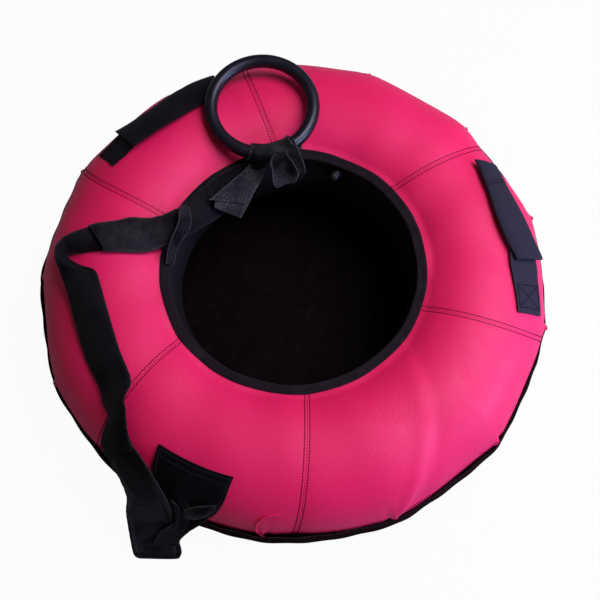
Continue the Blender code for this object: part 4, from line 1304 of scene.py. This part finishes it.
def turned_piece(name, outline, material, node, body):
    """A closed outline of (radius, height) points turned about the valve's axis."""
    turn = full_turn(TURNED_STEPS)[:, None]
    outline = np.array(outline, float)
    sections = polar(np.maximum(outline[:, 0], AXIS_GAP), turn, outline[:, 1])
    uv = over_grid(turn * CAP_RADIUS, run_lengths(outline))
    piece = loft(name, sections, uv, material, ring=True, wrap_uv=(2 * math.pi * CAP_RADIUS, 0.0))
    piece.data.transform(valve_place())
    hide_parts(node)
    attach(piece, body)


def build_valve(nickel, rubber, plastic, brass):
    """Threaded stem on its rubber foot, and a ribbed cap."""
    root = STEM_RADIUS - THREAD_DEPTH
    bore = STEM_RADIUS - 0.00135
    stem = []
    height = STEM_ROOT
    while height < STEM_LENGTH - THREAD_PITCH:
        stem += [(STEM_RADIUS, height + THREAD_PITCH * 0.25), (root, height + THREAD_PITCH * 0.75)]
        height += THREAD_PITCH
    stem += [(root, STEM_LENGTH), (bore, STEM_LENGTH), (bore, STEM_ROOT)]
    turned_piece("valve_stem_thread", stem, nickel, "valve_stem", "tube")
    foot = STEM_RADIUS + 0.0002
    turned_piece("valve_foot", [
        (foot, 0.0001), (0.0099, 0.0001), (0.0100, 0.0008), (0.0090, 0.0014), (0.0078, 0.0020),
        (0.0069, 0.0034), (0.0065, 0.0055), (0.0063, 0.0072), (0.0058, 0.0080), (foot, 0.0080)],
        rubber, "valve_patch", "tube")
    bottom = STEM_LENGTH - CAP_SKIRT
    ceiling = STEM_LENGTH + 0.0016
    inside = STEM_RADIUS + 0.0003
    skin = CAP_RADIUS - 0.0004
    turned_piece("valve_cap_shell", [
        (0, ceiling), (inside, ceiling), (inside, bottom), (CAP_RADIUS - 0.0002, bottom),
        (CAP_RADIUS, bottom + 0.0004), (CAP_RADIUS, bottom + 0.0012), (skin, bottom + 0.0015),
        (skin, ceiling - 0.0004), (skin - 0.0003, ceiling + 0.0008), (skin - 0.0010, ceiling + 0.0016),
        (0, ceiling + 0.0018)], plastic, "valve_cap", "cap")
    length = ceiling - bottom - 0.0018
    middles = polar(skin + 0.0001, full_turn(CAP_RIBS), bottom + 0.0016 + length / 2)
    lines = line_mesh("cap_ribs", [np.array([middle, middle + (0, 0, 1e-5)]) for middle in middles])
    ribs = grow("valve_cap_ribs", lines, stitch_tree(), {
        "Pitch": 1.0, "Length": length, "Width": RIB_WIDTH, "Material": plastic})
    ribs.data.transform(valve_place())
    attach(ribs, "cap")
    for node in ("valve_core", "valve_pin"):
        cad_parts[node].data.materials[0] = brass
    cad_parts["valve_cap_seal"].data.materials[0] = rubber


def main():
    bpy.context.scene.view_settings.view_transform = "Standard"
    make_camera()
    make_lights()
    make_floor()

    nylon = coated_nylon()
    # Two copies of one coated sheet: the rim's is painted lighter where it is lit, the one inside the opening
    # painted darker where it lies in shade
    floor_sheet = coated_sheet("black_coated_sheet", (0.0036, 0.0017, 0.0015), (0.0090, 0.0046, 0.0040), 0.02)
    rim_sheet = coated_sheet("black_rim_sheet", (0.0150, 0.0072, 0.0066), (0.0260, 0.0140, 0.0130), 0.0)
    cloths = {name: webbing(name + "_webbing", *values) for name, values in CLOTHS.items()}
    tape = binding_cloth()
    rubber = tube_rubber()

    strap, folds, centre = build_tow_strap(cloths)
    for piece in [strap] + folds:
        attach(piece, "tube")
    hitch = build_hitch(cloths["hitch"])

    dressed = build_cover(nylon) + [build_gather_loop(nylon)] + build_base(rim_sheet, floor_sheet)
    for piece in dressed + [build_binding(tape), build_anchor(cloths["anchor"])]:
        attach(piece, "tube")
    build_handle("right", cloths["right_grip"])
    build_handle("left", cloths["left_grip"])
    build_rings(ring_rubber(), rubber)
    build_valve(metal("nickel_plate", (0.62, 0.60, 0.56), 0.3), rubber, cap_plastic(),
                metal("brass", (0.62, 0.45, 0.18), 0.35))
    # The maroon thread is partly its own colour, partly painted shade along the sunken stitched rows
    build_stitching(thread("maroon_thread", (0.030, 0.001, 0.004)),
                    thread("black_thread", (0.014, 0.011, 0.013)))


main()
